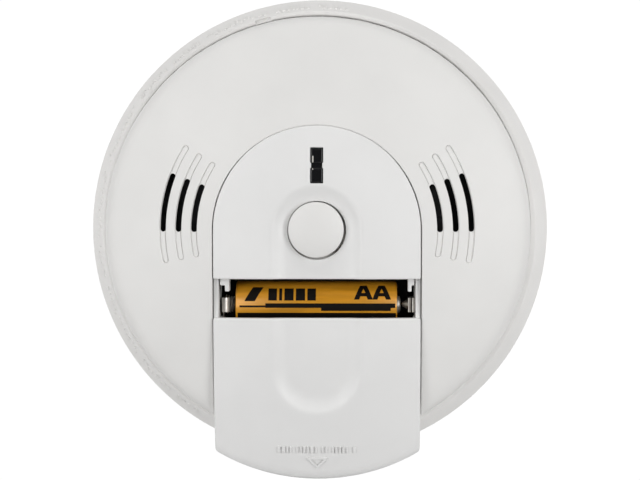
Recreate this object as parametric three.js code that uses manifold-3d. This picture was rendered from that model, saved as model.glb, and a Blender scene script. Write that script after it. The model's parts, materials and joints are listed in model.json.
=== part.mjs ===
// Hard-wired combination smoke and carbon monoxide alarm on a wall bracket, in millimetres.
//
// Everything is drawn in the wall frame: x to the right, y up, z out of the wall into the
// room, with the origin at the centre of the bracket's back face. The last group turns
// that frame so that the wall's normal is -Y and up is +Z.

import * as THREE from 'three';
import { mergeVertices } from 'three/addons/utils/BufferGeometryUtils.js';
import Module from 'manifold-3d';

const wasm = await Module();
wasm.setup();

// ---------------------------------------------------------------- driving dimensions

const FACETS = 44; // facets round the large turned shells
const HIDDEN_FACETS = 28; // facets round the inside of those shells
const SMALL_FACETS = 14; // facets round small parts
const GAP = 0.3; // free gap between neighbouring pieces
const ABOVE = 60; // height of any cutting tool that passes through the front

const BRACKET_R = 73; // outer radius of the trim ring
const BRACKET_BORE_R = 34; // central hole for the junction box wires
const FLANGE_T = 2.2; // thickness of the bracket's flat flange
const LIP_R = 67.35; // inner radius of the trim ring's raised lip
const LIP_Z = 8.2; // height of that lip

const BODY_R = 65.4; // outer radius of the alarm
const WALL = 2; // shell thickness of the mouldings
const FLOOR_Z = 7; // back face of the housing floor
const FLOOR_T = 1.8;
const HOUSING_R = 62.5; // outer radius of the housing's wall, inside the cover
const SKIRT_Z = 8.6; // back edge of the front cover
const EDGE_Z = 28.3; // where the side wall starts to round into the front
const EDGE_R = 61.6; // radius at which that rounding meets the front dome
const DOME_Z = 42.3; // height of the front dome at the centre
const DOME_RADIUS = 200; // spherical radius of the front dome

const OPENING_X = 31.75; // half width and arch radius of the opening in the cover
const INSERT_X = 31.4; // half width and arch radius of the panel and the door
const PANEL_BOTTOM_Y = -14.75; // lower edge of the fixed panel
const DOOR_TOP_Y = -15.05; // upper edge of the door when it is shut
const DOOR_END_R = 60; // radius of the door's lower end
const DOOR_END_Y = -5.3; // centre of that arc when the door is shut
const DOOR_OPEN = 11.5; // how far down the door stands in this model
const SIDE_T = 1.5; // thickness of the side walls of the panel and the door
const GUIDE_Z = 29.3; // lower edge of the wall that the runners slide under
const RUNNER_TOP_Z = 29;
const RUNNER_BOTTOM_Z = 27.2;
const RUNNER_X = 33.2; // outer side of the runners
const RUNNER_END_Y = -38; // lower end of the runners when the door is shut
const RAIL_REACH = 12.7; // how far the door's side rails run on above its upper edge
const RAIL_TOP_Z = 36.9; // front of those rails, which slide under the panel
const LEDGE_Z = 26.7; // top of the ledge that carries the runners
const LEDGE_X = 29.7; // inner side of that ledge
const CHANNEL_X = 33.7; // inner side of the channel's outer wall

const SCOOP_R = 13.1; // half width of the finger scoop
const SCOOP_DEPTH = 1.6;
const SCOOP_WALL = 1.4; // wall behind the scoop, thinner to clear the lower cell
const SCOOP_END_Y = -29.6; // centre of the scoop's lower end when the door is shut

const BUTTON_HOLE_R = 8.85;
const BUTTON_R = 8.45;
const BUTTON_TOP_Z = 43.4;
const BUTTON_GAP = 1.05; // free play between the button's stem and the switch

const WINDOW_W = 4;
const WINDOW_H = 10.9;
const WINDOW_Y = 19.55; // centre of the indicator window

const SLOT_RADII = [37.3, 42.1, 46.9];
const SLOT_W = 1.87;
const SLOT_ANGLE = 20.3; // degrees that each sounder slot spans

const VENTS = 16; // smoke entry slots round the side wall
const VENT_ANGLE = 12;
const VENT_Z = 18.3;
const VENT_H = 3.6;

const CELL_R = 7.25; // AA cell
const CELL_BODY = 49.3;
const CELL_NUB_R = 2.7;
const CELL_NUB = 1.15;
const CELL_LEFT_X = -24.95; // left end of the upper cell
const CELL_Z = 27.4;
const CELL_Y = [-23, -37.9]; // axes of the upper and the lower cell

const BOARD_R = 53;
const BOARD_Z = 12; // back face of the circuit board
const BOARD_T = 1.6;
const PARTS_Z = BOARD_Z + BOARD_T + GAP; // seat of everything mounted on the board

const POST_R = 57; // pitch radius of the four cover screws
const POST_ANGLES = [45, 135, 225, 315];
const BOSS_R = 48; // pitch radius of the three board screws
const BOSS_ANGLES = [90, 210, 330];

const HOOK_ANGLES = [30, 150, 270];
const HOOK_WIDTH = 12; // degrees that each bayonet hook spans

const CHAMBER = [-38, 9]; // centre of the smoke chamber
const HORN = [38, 9];
const SPEAKER = [-20, 39];
const CO_CELL = [20, 39];
const INLET_Y = 20; // centre of the mains inlet

// ---------------------------------------------------------------- finishes

const finish = (color, roughness, metalness = 0) =>
  new THREE.MeshStandardMaterial({ color, roughness, metalness });

const WHITE = finish(0xe0dfdd, 0.5);
const RING_WHITE = finish(0xdad7d2, 0.55);
const PANEL_WHITE = finish(0xe3e2e2, 0.45);
const SMOKED = finish(0x16171a, 0.12);
const BLACK = finish(0x1b1c1e, 0.6);
const GOLD_LABEL = finish(0xc08a2e, 0.35, 0.3);
const STEEL = finish(0xc9c8c4, 0.3, 1);
const BRASS = finish(0xc9a85a, 0.35, 1);
const CERAMIC = finish(0xe9e6de, 0.6);
const BOARD_GREEN = finish(0x1f5c3a, 0.5);
const MESH_GREY = finish(0x6d7074, 0.5, 0.8);
const CLEAR_GREEN = finish(0x3fae55, 0.2);
const CLEAR_RED = finish(0xb5302c, 0.2);
const PALE_BLUE = finish(0xa9b7cf, 0.3);
const FILM_YELLOW = finish(0xc9a63a, 0.45);
const SLEEVE_BLUE = finish(0x25304f, 0.4);
const DISC_BLUE = finish(0x2e5f9e, 0.5);
const CONE_BLACK = finish(0x24262a, 0.8);

// ---------------------------------------------------------------- solids

// A closed geometry as a manifold solid, with its faces turned outwards.
function solid(geometry) {
  const bare = geometry.clone();
  bare.deleteAttribute('normal');
  bare.deleteAttribute('uv');
  const merged = mergeVertices(bare, 1e-4);
  const points = Float32Array.from(merged.attributes.position.array);
  const corners = Array.from(merged.index.array);
  const kept = [];
  let volume = 0;
  for (let i = 0; i < corners.length; i += 3) {
    const [a, b, c] = corners.slice(i, i + 3);
    if (a !== b && b !== c && c !== a) {
      kept.push(a, b, c);
      const [p, q, r] = [a, b, c].map((k) => new THREE.Vector3().fromArray(points, 3 * k));
      volume += p.dot(q.cross(r));
    }
  }
  if (volume < 0) {
    kept.reverse();
  }
  const triVerts = Uint32Array.from(kept);
  return new wasm.Manifold(new wasm.Mesh({ numProp: 3, vertProperties: points, triVerts }));
}

function geometryOf(shape) {
  const mesh = shape.getMesh();
  const geometry = new THREE.BufferGeometry();
  geometry.setAttribute('position', new THREE.BufferAttribute(mesh.vertProperties, 3));
  geometry.setIndex(new THREE.BufferAttribute(mesh.triVerts, 1));
  geometry.computeVertexNormals();
  return geometry;
}

const join = (shapes) => shapes.reduce((whole, next) => whole.add(next));
const cut = (shape, tools) => tools.reduce((left, tool) => left.subtract(tool), shape);
const radians = (degrees) => (degrees * Math.PI) / 180;
const polar = (radius, angle) => [
  radius * Math.cos(radians(angle)),
  radius * Math.sin(radians(angle)),
];

// Turns a profile of [radius, z] points about the z axis.
function turned(profile, facets = FACETS) {
  const points = profile.map(([r, z]) => new THREE.Vector2(r, z));
  return solid(new THREE.LatheGeometry(points, facets).rotateX(Math.PI / 2));
}

// A closed ring from a profile that doesn't reach the axis.
const turnedRing = (profile, facets) => turned([...profile, profile[0]], facets);

// Extrudes a flat outline from z0 to z1.
function slab(outline, z0, z1, curveSegments = 16) {
  const options = { depth: z1 - z0, bevelEnabled: false, curveSegments };
  return solid(new THREE.ExtrudeGeometry(outline, options).translate(0, 0, z0));
}

function block([x0, x1], [y0, y1], [z0, z1]) {
  const box = new THREE.BoxGeometry(x1 - x0, y1 - y0, z1 - z0);
  return solid(box.translate((x0 + x1) / 2, (y0 + y1) / 2, (z0 + z1) / 2));
}

function rod([x, y], radius, z0, z1, facets = SMALL_FACETS) {
  const rodShape = new THREE.CylinderGeometry(radius, radius, z1 - z0, facets);
  return solid(rodShape.rotateX(Math.PI / 2).translate(x, y, (z0 + z1) / 2));
}

// A stretch of a flat ring between two angles in degrees.
function sector(r0, r1, a0, a1, z0, z1, curveSegments = 2) {
  const outline = new THREE.Shape();
  outline.absarc(0, 0, r1, radians(a0), radians(a1), false);
  outline.absarc(0, 0, r0, radians(a1), radians(a0), true);
  outline.closePath();
  return slab(outline, z0, z1, curveSegments);
}

// A slot with round ends that follows an arc.
function arcSlot(radius, width, a0, a1, z0, z1) {
  const half = width / 2;
  const ends = [a0, a1].map((angle) => rod(polar(radius, angle), half, z0, z1, 8));
  return join([sector(radius - half, radius + half, a0, a1, z0, z1, 4), ...ends]);
}

// An arch: a half circle of the given radius above straight sides that end at bottomY.
function archPrism(halfWidth, bottomY, z0, z1) {
  const outline = new THREE.Shape();
  outline.moveTo(halfWidth, bottomY);
  outline.lineTo(halfWidth, 0);
  outline.absarc(0, 0, halfWidth, 0, Math.PI, false);
  outline.lineTo(-halfWidth, bottomY);
  outline.closePath();
  return slab(outline, z0, z1, 16);
}

// A stadium with its upper half circle at y = 0 and its lower one at endY.
function stadium(halfWidth, endY, z0, z1) {
  const outline = new THREE.Shape();
  outline.absarc(0, 0, halfWidth, 0, Math.PI, false);
  outline.absarc(0, endY, halfWidth, Math.PI, 2 * Math.PI, false);
  outline.closePath();
  return slab(outline, z0, z1, 8);
}

// A wire or pin of round section along a list of points.
function wire(points, radius, steps, sides = 6) {
  const section = new THREE.Shape();
  section.absarc(0, 0, radius, 0, 2 * Math.PI, false);
  const path = new THREE.CatmullRomCurve3(points.map((p) => new THREE.Vector3(...p)));
  const options = { steps, extrudePath: path, curveSegments: sides / 2 };
  return solid(new THREE.ExtrudeGeometry(section, options));
}

// ---------------------------------------------------------------- the front's form

const domeZ = (radius) => DOME_Z - (radius * radius) / (2 * DOME_RADIUS);

// The outline of the front from the side wall to the centre, moved inwards by inset.
function frontProfile(inset) {
  const side = BODY_R - inset;
  const edge = EDGE_R - inset * 0.4;
  const start = new THREE.Vector2(side, EDGE_Z - inset * 0.6);
  const corner = new THREE.Vector2(side, domeZ(EDGE_R) - inset - 0.9);
  const end = new THREE.Vector2(edge, domeZ(edge) - inset);
  const rounding = new THREE.QuadraticBezierCurve(start, corner, end).getPoints(3);
  const dome = [48, 32, 16, 0].map((r) => [r, domeZ(r) - inset]);
  return [...rounding.map((p) => [p.x, p.y]), ...dome];
}

// The full body of the front, filled from the given height, moved inwards by inset.
const frontForm = (inset, fromZ, facets) =>
  turned([[0, fromZ], [BODY_R - inset, fromZ], ...frontProfile(inset)], facets);

const OUTER_FORM = frontForm(0, SKIRT_Z, FACETS);
const INNER_FORM = frontForm(WALL, SKIRT_Z - 1, HIDDEN_FACETS);
const SCOOP_FORM = frontForm(SCOOP_DEPTH, SKIRT_Z, HIDDEN_FACETS);
const SCOOP_INNER_FORM = frontForm(SCOOP_DEPTH + SCOOP_WALL, SKIRT_Z - 1, HIDDEN_FACETS);
const TRIM_FORM = frontForm(0.5, SKIRT_Z, HIDDEN_FACETS);

// A shell of the front inside a plan outline, with the finger scoop pressed into it.
function scoopedShell(plan) {
  const scoop = stadium(SCOOP_R, SCOOP_END_Y, SKIRT_Z - 2, ABOVE);
  const scoopSeat = stadium(SCOOP_R + WALL * 0.8, SCOOP_END_Y, SKIRT_Z - 2, ABOVE);
  const face = OUTER_FORM.subtract(INNER_FORM).intersect(plan).subtract(scoop);
  const dip = SCOOP_FORM.subtract(SCOOP_INNER_FORM).intersect(plan).intersect(scoopSeat);
  return face.add(dip);
}

// ---------------------------------------------------------------- bracket

function mountingBracket() {
  const ring = turnedRing([
    [BRACKET_BORE_R, 0],
    [69.4, 0],
    [69.4, 4.9],
    [71.2, 2.2],
    [71.2, 0],
    [BRACKET_R, 0],
    [BRACKET_R, 2.3],
    [72.3, 3.2],
    [69.1, LIP_Z - 0.2],
    [68.7, LIP_Z],
    [LIP_R + 0.3, LIP_Z],
    [LIP_R, LIP_Z - 0.4],
    [LIP_R, FLANGE_T],
    [BRACKET_BORE_R, FLANGE_T],
  ]);
  const hooks = HOOK_ANGLES.map((angle) => bayonetHook(angle));
  const screwSlots = [
    keySlot(41.7, -15, 15),
    keySlot(41.7, 165, 195),
    keySlot(44.5, 75, 105),
    keySlot(44.5, 255, 285),
  ];
  const notchAt = 105;
  const notch = block([-2.9, 2.9], [LIP_R - 1, LIP_R + 1.5], [LIP_Z - 2, LIP_Z + 1]);
  return cut(join([ring, ...hooks]), [...screwSlots, notch.rotate([0, 0, notchAt - 90])]);
}

// A hook over the housing's tab, closed at its clockwise end so that the tab stops there.
function bayonetHook(angle) {
  const [a0, a1] = [angle - HOOK_WIDTH / 2, angle + HOOK_WIDTH / 2];
  const post = sector(61, 62.6, a0, a1, FLANGE_T - 0.5, 6.3);
  const roof = sector(58.3, 62.6, a0, a1, 4.7, 6.3);
  const stop = sector(58.3, 62.6, a0 - 2.5, a0 + 0.1, FLANGE_T - 0.5, 6.3);
  return join([post, roof, stop]);
}

// An arc slot for a box screw, with a round head hole at its anticlockwise end.
function keySlot(radius, a0, a1) {
  const head = rod(polar(radius, a1), 4.4, -1, FLANGE_T + 1, 12);
  return arcSlot(radius, 4.4, a0, a1, -1, FLANGE_T + 1).add(head);
}

// ---------------------------------------------------------------- housing

const PAD_Z = 10.6; // top of the pads round the cover screws
const SCREW_HEAD_Z = 8.9; // face that the cover screws' heads press on

function backHousing() {
  const wallTop = 13;
  const inner = HOUSING_R - WALL;
  const dish = turned([
    [0, FLOOR_Z],
    [BODY_R, FLOOR_Z],
    [BODY_R, SKIRT_Z - GAP],
    [HOUSING_R, SKIRT_Z - GAP],
    [HOUSING_R, wallTop],
    [inner, wallTop],
    [inner, FLOOR_Z + FLOOR_T],
    [0, FLOOR_Z + FLOOR_T],
  ]);
  const tabs = HOOK_ANGLES.map((angle) => bayonetTab(angle));
  const pads = POST_ANGLES.map((angle) => rod(polar(POST_R, angle), 4.1, FLOOR_Z + 0.5, PAD_Z));
  const bosses = BOSS_ANGLES.map((angle) =>
    rod(polar(BOSS_R, angle), 3.2, FLOOR_Z + 0.5, BOARD_Z - GAP),
  );
  const holes = POST_ANGLES.flatMap((angle) => [
    rod(polar(POST_R, angle), 3.2, FLOOR_Z - 1, SCREW_HEAD_Z + GAP),
    rod(polar(POST_R, angle), 1.7, FLOOR_Z - 1, PAD_Z + 1, 12),
  ]);
  const pilots = BOSS_ANGLES.map((angle) =>
    rod(polar(BOSS_R, angle), 1.6, FLOOR_Z + 1.2, BOARD_Z + 1, 12),
  );
  const [x, y] = [11 + GAP, 7 + GAP];
  const inletHole = block([-x, x], [INLET_Y - y, INLET_Y + y], [FLOOR_Z - 1, FLOOR_Z + 3]);
  return cut(join([dish, ...tabs, ...pads, ...bosses]), [...holes, ...pilots, inletHole]);
}

function bayonetTab(angle) {
  const half = HOOK_WIDTH / 2 - 0.6;
  const tab = sector(56, 60.6, angle - half, angle + half, 2.7, 4.3);
  const foot = sector(56, 58, angle - half, angle + half, 4, FLOOR_Z + 0.5);
  return tab.add(foot);
}

// ---------------------------------------------------------------- front cover

function frontCover() {
  const shell = OUTER_FORM.subtract(INNER_FORM);
  const posts = POST_ANGLES.map((angle) => rod(polar(POST_R, angle), 3, PAD_Z + GAP, ABOVE, 12));
  const guide = archPrism(OPENING_X + SIDE_T, -70, GUIDE_Z, ABOVE);
  const channels = [-1, 1].map((side) => runnerChannel(side));
  const additions = join([...posts, guide, ...channels]).intersect(TRIM_FORM);
  const opening = archPrism(OPENING_X, -80, LEDGE_Z, ABOVE);
  const doorWay = block([-CHANNEL_X, CHANNEL_X], [-70, -50], [LEDGE_Z, GUIDE_Z]);
  const pilots = POST_ANGLES.map((angle) => rod(polar(POST_R, angle), 1.65, 5, 18.5, 12));
  return cut(shell.add(additions), [
    opening,
    doorWay,
    ...pilots,
    ...sounderSlots(),
    ...sideVents(),
  ]);
}

// The ledge and outer wall that hold one of the door's runners.
function runnerChannel(side) {
  const outerX = CHANNEL_X + SIDE_T;
  const along = [-60, PANEL_BOTTOM_Y];
  const ledge = block([LEDGE_X, outerX], along, [LEDGE_Z - 1.7, LEDGE_Z]);
  const wall = block([CHANNEL_X, outerX], along, [LEDGE_Z - 1, ABOVE]);
  const channel = ledge.add(wall);
  return side > 0 ? channel : channel.mirror([1, 0, 0]);
}

function sounderSlots() {
  return SLOT_RADII.flatMap((radius) => [
    arcSlot(radius, SLOT_W, 0, SLOT_ANGLE, 25, ABOVE),
    arcSlot(radius, SLOT_W, 180 - SLOT_ANGLE, 180, 25, ABOVE),
  ]);
}

function sideVents() {
  const vents = [];
  const halfWidth = BODY_R * Math.sin(radians(VENT_ANGLE / 2));
  for (let i = 0; i < VENTS; i += 1) {
    const z = [VENT_Z - VENT_H / 2, VENT_Z + VENT_H / 2];
    const vent = block([BODY_R - WALL - 2, BODY_R + 2], [-halfWidth, halfWidth], z);
    vents.push(vent.rotate([0, 0, (360 / VENTS) * (i + 0.5)]));
  }
  return vents;
}

// ---------------------------------------------------------------- panel and door

function frontPanel() {
  const plan = archPrism(INSERT_X, PANEL_BOTTOM_Y, SKIRT_Z, ABOVE);
  const hollow = archPrism(INSERT_X - SIDE_T, PANEL_BOTTOM_Y + 1.2, 20, ABOVE);
  const skirt = archPrism(INSERT_X, PANEL_BOTTOM_Y, 35.5, ABOVE).subtract(hollow);
  const rim = skirt.intersect(SCOOP_FORM);
  const collar = rod([0, 0], 11.8, 34, 40, 16).subtract(rod([0, 0], 10.6, 30, 45, 16));
  const shell = join([scoopedShell(plan), rim, collar, ...panelClips(), ...panelHooks()]);
  const half = [WINDOW_W / 2, WINDOW_H / 2];
  const window = block([-half[0], half[0]], [WINDOW_Y - half[1], WINDOW_Y + half[1]], [20, ABOVE]);
  const ways = [-1, 1].map((side) => railWay(side));
  return cut(shell, [rod([0, 0], BUTTON_HOLE_R, 20, ABOVE, 28), window, ...ways]);
}

// The room under the panel that one of the door's side rails slides into.
function railWay(side) {
  const across = [INSERT_X - SIDE_T - GAP, INSERT_X + 1];
  const along = [PANEL_BOTTOM_Y - 1, DOOR_TOP_Y + RAIL_REACH + 0.4];
  const way = block(across, along, [25, RAIL_TOP_Z + 0.35]);
  return side > 0 ? way : way.mirror([1, 0, 0]);
}

// Spring clips that catch under the cover's guide wall.
function panelClips() {
  const clips = [];
  for (const side of [-1, 1]) {
    const leg = block([INSERT_X - SIDE_T, INSERT_X - 0.2], [-1.6, 3.4], [27.5, 36.5]);
    const nose = block([INSERT_X - 1, OPENING_X + 1.1], [-1.6, 3.4], [27.5, GUIDE_Z - GAP]);
    const clip = leg.add(nose);
    clips.push(side > 0 ? clip : clip.mirror([1, 0, 0]));
  }
  return clips;
}

// L-shaped catches that hang into the battery bay beside the upper cell.
function panelHooks() {
  const depth = [31, 36.4];
  const across = [
    [[-29.5, -26.7], [-28, -26.7]],
    [[27.6, 29.5], [27.6, 28.7]],
  ];
  return across.map(([barX, legX]) => {
    const bar = block(barX, [PANEL_BOTTOM_Y - 2.05, PANEL_BOTTOM_Y + 0.9], depth);
    return bar.add(block(legX, [PANEL_BOTTOM_Y - 3.9, PANEL_BOTTOM_Y - 1], depth));
  });
}

// The door, drawn shut.
function batteryDoor() {
  const sides = block([-INSERT_X, INSERT_X], [-80, DOOR_TOP_Y], [RUNNER_BOTTOM_Z, ABOVE]);
  const plan = sides.intersect(doorEnd(0));
  const inX = INSERT_X - SIDE_T;
  const bay = block([-inX, inX], [-80, DOOR_TOP_Y + 5], [0, ABOVE]);
  const hollow = bay.intersect(doorEnd(SIDE_T));
  const walls = plan.subtract(hollow).intersect(OUTER_FORM);
  const lipBlock = block([-INSERT_X, INSERT_X], [DOOR_TOP_Y - 1.2, DOOR_TOP_Y], [37.8, ABOVE]);
  const lip = lipBlock.intersect(SCOOP_FORM);
  const runners = [-1, 1].map((side) => doorRunner(side));
  return join([scoopedShell(plan), walls, lip, ...runners]);
}

// Everything inside the arc of the door's lower end, moved inwards by inset.
const doorEnd = (inset) => rod([0, DOOR_END_Y], DOOR_END_R - inset, 0, ABOVE, FACETS);

// A runner with the rail that carries the door's side on under the panel.
function doorRunner(side) {
  const along = [RUNNER_END_Y, DOOR_TOP_Y];
  const runner = block([INSERT_X - 1, RUNNER_X], along, [RUNNER_BOTTOM_Z, RUNNER_TOP_Z]);
  const railY = [DOOR_TOP_Y - 1, DOOR_TOP_Y + RAIL_REACH];
  const rail = block([INSERT_X - SIDE_T, INSERT_X], railY, [RUNNER_BOTTOM_Z, RAIL_TOP_Z]);
  const both = runner.add(rail);
  return side > 0 ? both : both.mirror([1, 0, 0]);
}

// ---------------------------------------------------------------- button and switch

const SWITCH_TOP_Z = 17.4;
const PLUNGER_TOP_Z = 18.2;

function testButton() {
  const stemR = 2.4;
  const flangeR = 10.2;
  return turned([
    [0, PLUNGER_TOP_Z + BUTTON_GAP],
    [stemR, PLUNGER_TOP_Z + BUTTON_GAP],
    [stemR, 36.4],
    [flangeR, 36.4],
    [flangeR, 37.6],
    [BUTTON_R, 37.8],
    [BUTTON_R, 41.5],
    [BUTTON_R - 0.6, 42.1],
    [6, 42.8],
    [0, BUTTON_TOP_Z],
  ], 28);
}

function switchBody() {
  const body = block([-3, 3], [-3, 3], [PARTS_Z, SWITCH_TOP_Z]);
  return body.subtract(rod([0, 0], 2, PARTS_Z + 0.6, SWITCH_TOP_Z + 1, 12));
}

const switchPlunger = () => rod([0, 0], 1.7, PARTS_Z + 1.2, PLUNGER_TOP_Z, 12);

// ---------------------------------------------------------------- indicator

// The smoked window, waisted in the middle, on a foot behind the panel.
function indicatorLens() {
  const [x, y] = [WINDOW_W / 2 - 0.2, WINDOW_H / 2 - 0.35];
  const outline = new THREE.Shape();
  outline.moveTo(-x, -y);
  outline.lineTo(x, -y);
  outline.lineTo(x, -1);
  outline.lineTo(x - 0.35, 0);
  outline.lineTo(x, 1);
  outline.lineTo(x, y);
  outline.lineTo(-x, y);
  outline.lineTo(-x, 1);
  outline.lineTo(-x + 0.35, 0);
  outline.lineTo(-x, -1);
  outline.closePath();
  const tilt = (Math.asin(WINDOW_Y / DOME_RADIUS) * 180) / Math.PI;
  const face = slab(outline, -3.4, 0).rotate([-tilt, 0, 0]);
  const foot = block([-x - 0.8, x + 0.8], [-y - 0.7, y + 0.7], [-4.4, -3.3]);
  return face.add(foot).translate([0, WINDOW_Y, domeZ(WINDOW_Y) - 0.2]);
}

const LED_Y = [WINDOW_Y + 2.8, WINDOW_Y - 2.8];

function ledHolder() {
  const body = block([-4, 4], [WINDOW_Y - 6.6, WINDOW_Y + 6.6], [PARTS_Z, 36.2]);
  const bores = LED_Y.flatMap((y) => [
    rod([0, y], 1.9, 28, 40, 12),
    rod([0, y], 1.3, PARTS_Z - 1, 29, 10),
  ]);
  return cut(body, bores);
}

// A 3 mm indicator on its long leads.
function indicatorLed(y) {
  const profile = [[0, 30], [1.6, 30], [1.6, 34.4], [1.1, 35.5], [0, 35.9]];
  const head = turned(profile, 12).translate([0, y, 0]);
  const leads = block([-0.7, 0.7], [y - 0.3, y + 0.3], [PARTS_Z, 30.5]);
  return head.add(leads);
}

// ---------------------------------------------------------------- battery bay

function batteryTray() {
  const [x0, x1] = [-31.2, 31.2];
  const [y0, y1] = [-46.25, -14.5];
  const base = CELL_Z - CELL_R - GAP;
  const tray = block([x0, x1], [y0, y1], [base - 1.8, LEDGE_Z - 1.7 - GAP]);
  const upper = block([-25.5, 25.5], [y0, y1], [base - 1, 30.5]);
  const bay = block([x0 + 1.5, x1 - 1.5], [y0 + 0.9, y1 - 1], [base, ABOVE]);
  const rib = block([-22, 22], [-31.2, -29.7], [base - 0.5, 22.6]);
  const feet = [-24, 24].map((x) => rod([x, -29], 2.2, PARTS_Z, base - 1, 10));
  return join([tray.add(upper).subtract(bay), rib, ...feet]);
}

// A cell that lies along x, with its positive end at the right.
function cell(y) {
  const end = CELL_BODY / 2;
  const shape = turned([
    [0, -end],
    [CELL_R - 0.5, -end],
    [CELL_R, 0.5 - end],
    [CELL_R, end - 0.5],
    [CELL_R - 0.5, end],
    [CELL_NUB_R, end],
    [CELL_NUB_R, end + CELL_NUB],
    [0, end + CELL_NUB],
  ], 20);
  return shape.rotate([0, 90, 0]).translate([CELL_LEFT_X + end, y, CELL_Z]);
}

const lowerCell = () => cell(CELL_Y[1]).mirror([1, 0, 0]);

// A compressed conical spring between a contact plate and a cell's flat end.
function contactSpring(y, side) {
  const [fromX, toX] = [28.2, 25.7];
  const [turns, perTurn] = [2.5, 8];
  const points = [];
  for (let i = 0; i <= turns * perTurn; i += 1) {
    const along = i / (turns * perTurn);
    const angle = (2 * Math.PI * i) / perTurn;
    const radius = 4.2 - 1.6 * along;
    const x = fromX + (toX - fromX) * along;
    points.push([side * x, y + radius * Math.cos(angle), CELL_Z + radius * Math.sin(angle)]);
  }
  return wire(points, 0.32, points.length - 1);
}

// The plate that joins the two cells at the left end of the bay.
function bridgeContact() {
  const low = block([-29.2, -28.8], [-40.5, -20.8], [22, 30]);
  const high = block([-29.2, -28.8], [-25.1, -20.8], [29, 33.2]);
  const tab = block([-29.2, -26.9], [-25.1, -20.8], [32.8, 33.2]);
  const bump = rod([0, 0], 2.2, 0, 3.3, 12).rotate([0, 90, 0]);
  return join([low, high, tab, bump.translate([-29, CELL_Y[1], CELL_Z])]);
}

// A folded leaf at the right end of the bay, with a dimple that stands towards the cell.
function leafContact(y) {
  const width = [y - 2.1, y + 2.2];
  const back = block([29, 29.5], width, [22, 33.4]);
  const fold = block([27.8, 29.5], width, [22, 22.5]);
  const leaf = block([27.8, 28.4], width, [22, 33]);
  const dimple = rod([0, 0], 2, 0, 2, 12).rotate([0, 90, 0]).translate([26, y, CELL_Z]);
  return join([back, fold, leaf, dimple]);
}

function negativeContact() {
  return block([28.8, 29.3], [CELL_Y[1] - 4.5, CELL_Y[1] + 4.5], [22, 33]);
}

// ---------------------------------------------------------------- board and its parts

function circuitBoard() {
  const disc = rod([0, 0], BOARD_R, BOARD_Z, BOARD_Z + BOARD_T, 36);
  const holes = BOSS_ANGLES.map((angle) => rod(polar(BOSS_R, angle), 1.7, 5, 20, 12));
  const flat = block([-30, 30], [-70, -51.6], [5, 20]);
  return cut(disc, [...holes, flat]);
}

function smokeChamberBase() {
  return turned([
    [0, PARTS_Z],
    [15, PARTS_Z],
    [15, 18.2],
    [13.6, 18.2],
    [13.6, PARTS_Z + 1.4],
    [0, PARTS_Z + 1.4],
  ], 20).translate([...CHAMBER, 0]);
}

function smokeChamberCap() {
  const disc = rod([0, 0], 15, 25.2, 26.4, 20);
  const vanes = [];
  for (let i = 0; i < 10; i += 1) {
    const vane = block([-2.2, 2.2], [-0.4, 0.4], [18.6, 25.5]);
    vanes.push(vane.rotate([0, 0, 50]).translate([11, 0, 0]).rotate([0, 0, 36 * i]));
  }
  return join([disc, ...vanes]).translate([...CHAMBER, 0]);
}

function insectScreen() {
  const profile = [[14.2, 18.5], [14.6, 18.5], [14.6, 24.9], [14.2, 24.9]];
  return turnedRing(profile, 20).translate([...CHAMBER, 0]);
}

// A lens-ended optical device lying in the chamber and aimed at its middle.
function opticalDevice(angle) {
  const profile = [[0, 0], [1.5, 0], [1.5, 3.6], [1, 4.6], [0, 5]];
  const lying = turned(profile, 12).rotate([0, -90, 0]).translate([9.5, 0, 17.4]);
  return lying.rotate([0, 0, angle]).translate([...CHAMBER, 0]);
}

function hornCase() {
  return turnedRing([
    [13.5, PARTS_Z],
    [15, PARTS_Z],
    [15, 23.4],
    [5, 23.4],
    [5, 22],
    [13.5, 22],
    [13.5, 18.2],
    [12, 18.2],
    [12, 17],
    [13.5, 17],
  ], 20).translate([...HORN, 0]);
}

const piezoDisc = () => rod(HORN, 12.9, 18.5, 18.9, 20);

function speakerFrame() {
  return turned([
    [0, PARTS_Z],
    [5.5, PARTS_Z],
    [5.5, 16.4],
    [10, 19],
    [10, 20.6],
    [8.6, 20.6],
    [8.6, 19.4],
    [4.2, 17],
    [0, 17],
  ], 18).translate([...SPEAKER, 0]);
}

function speakerCone() {
  const profile = [[0, 18], [3, 17.3], [8.2, 19.8], [8.2, 20.3], [3.2, 18.1], [0, 18.9]];
  return turned(profile, 18).translate([...SPEAKER, 0]);
}

function coSensor() {
  return turned([
    [0, PARTS_Z],
    [9, PARTS_Z],
    [9, 25.8],
    [8.4, 26.4],
    [4.5, 26.4],
    [4.5, 28.2],
    [0, 28.2],
  ], 18).translate([...CO_CELL, 0]);
}

const boardBox = (x, y, z1) => block(x, y, [PARTS_Z, z1]);

function microcontroller() {
  return boardBox([-9, 9], [-33.7, -26.3], 16.2);
}

const filmCapacitor = () => boardBox([-9, 9], [-51.8, -46.6], 24.4);

function electrolyticCapacitor(x) {
  const z = 24.2;
  const profile = [[0, PARTS_Z], [3.3, PARTS_Z], [3.3, z - 0.5], [2.9, z], [0, z]];
  return turned(profile, 14).translate([x, -49.9, 0]);
}

function varistor() {
  const disc = rod([0, 0], 4.6, -1.5, 1.5, 18).rotate([0, 90, 0]);
  const legs = block([-0.4, 0.4], [-3, 3], [-6.4, 0]);
  return disc.add(legs).translate([-45.5, -12.2, PARTS_Z + 6.4]);
}

const hornCoil = () => rod([44.5, -12.5], 4, PARTS_Z, 22.5, 16);

// ---------------------------------------------------------------- mains inlet

const INLET_BACK_Z = 4.8;
const INLET_PIN_X = [-5, 0, 5];

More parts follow.
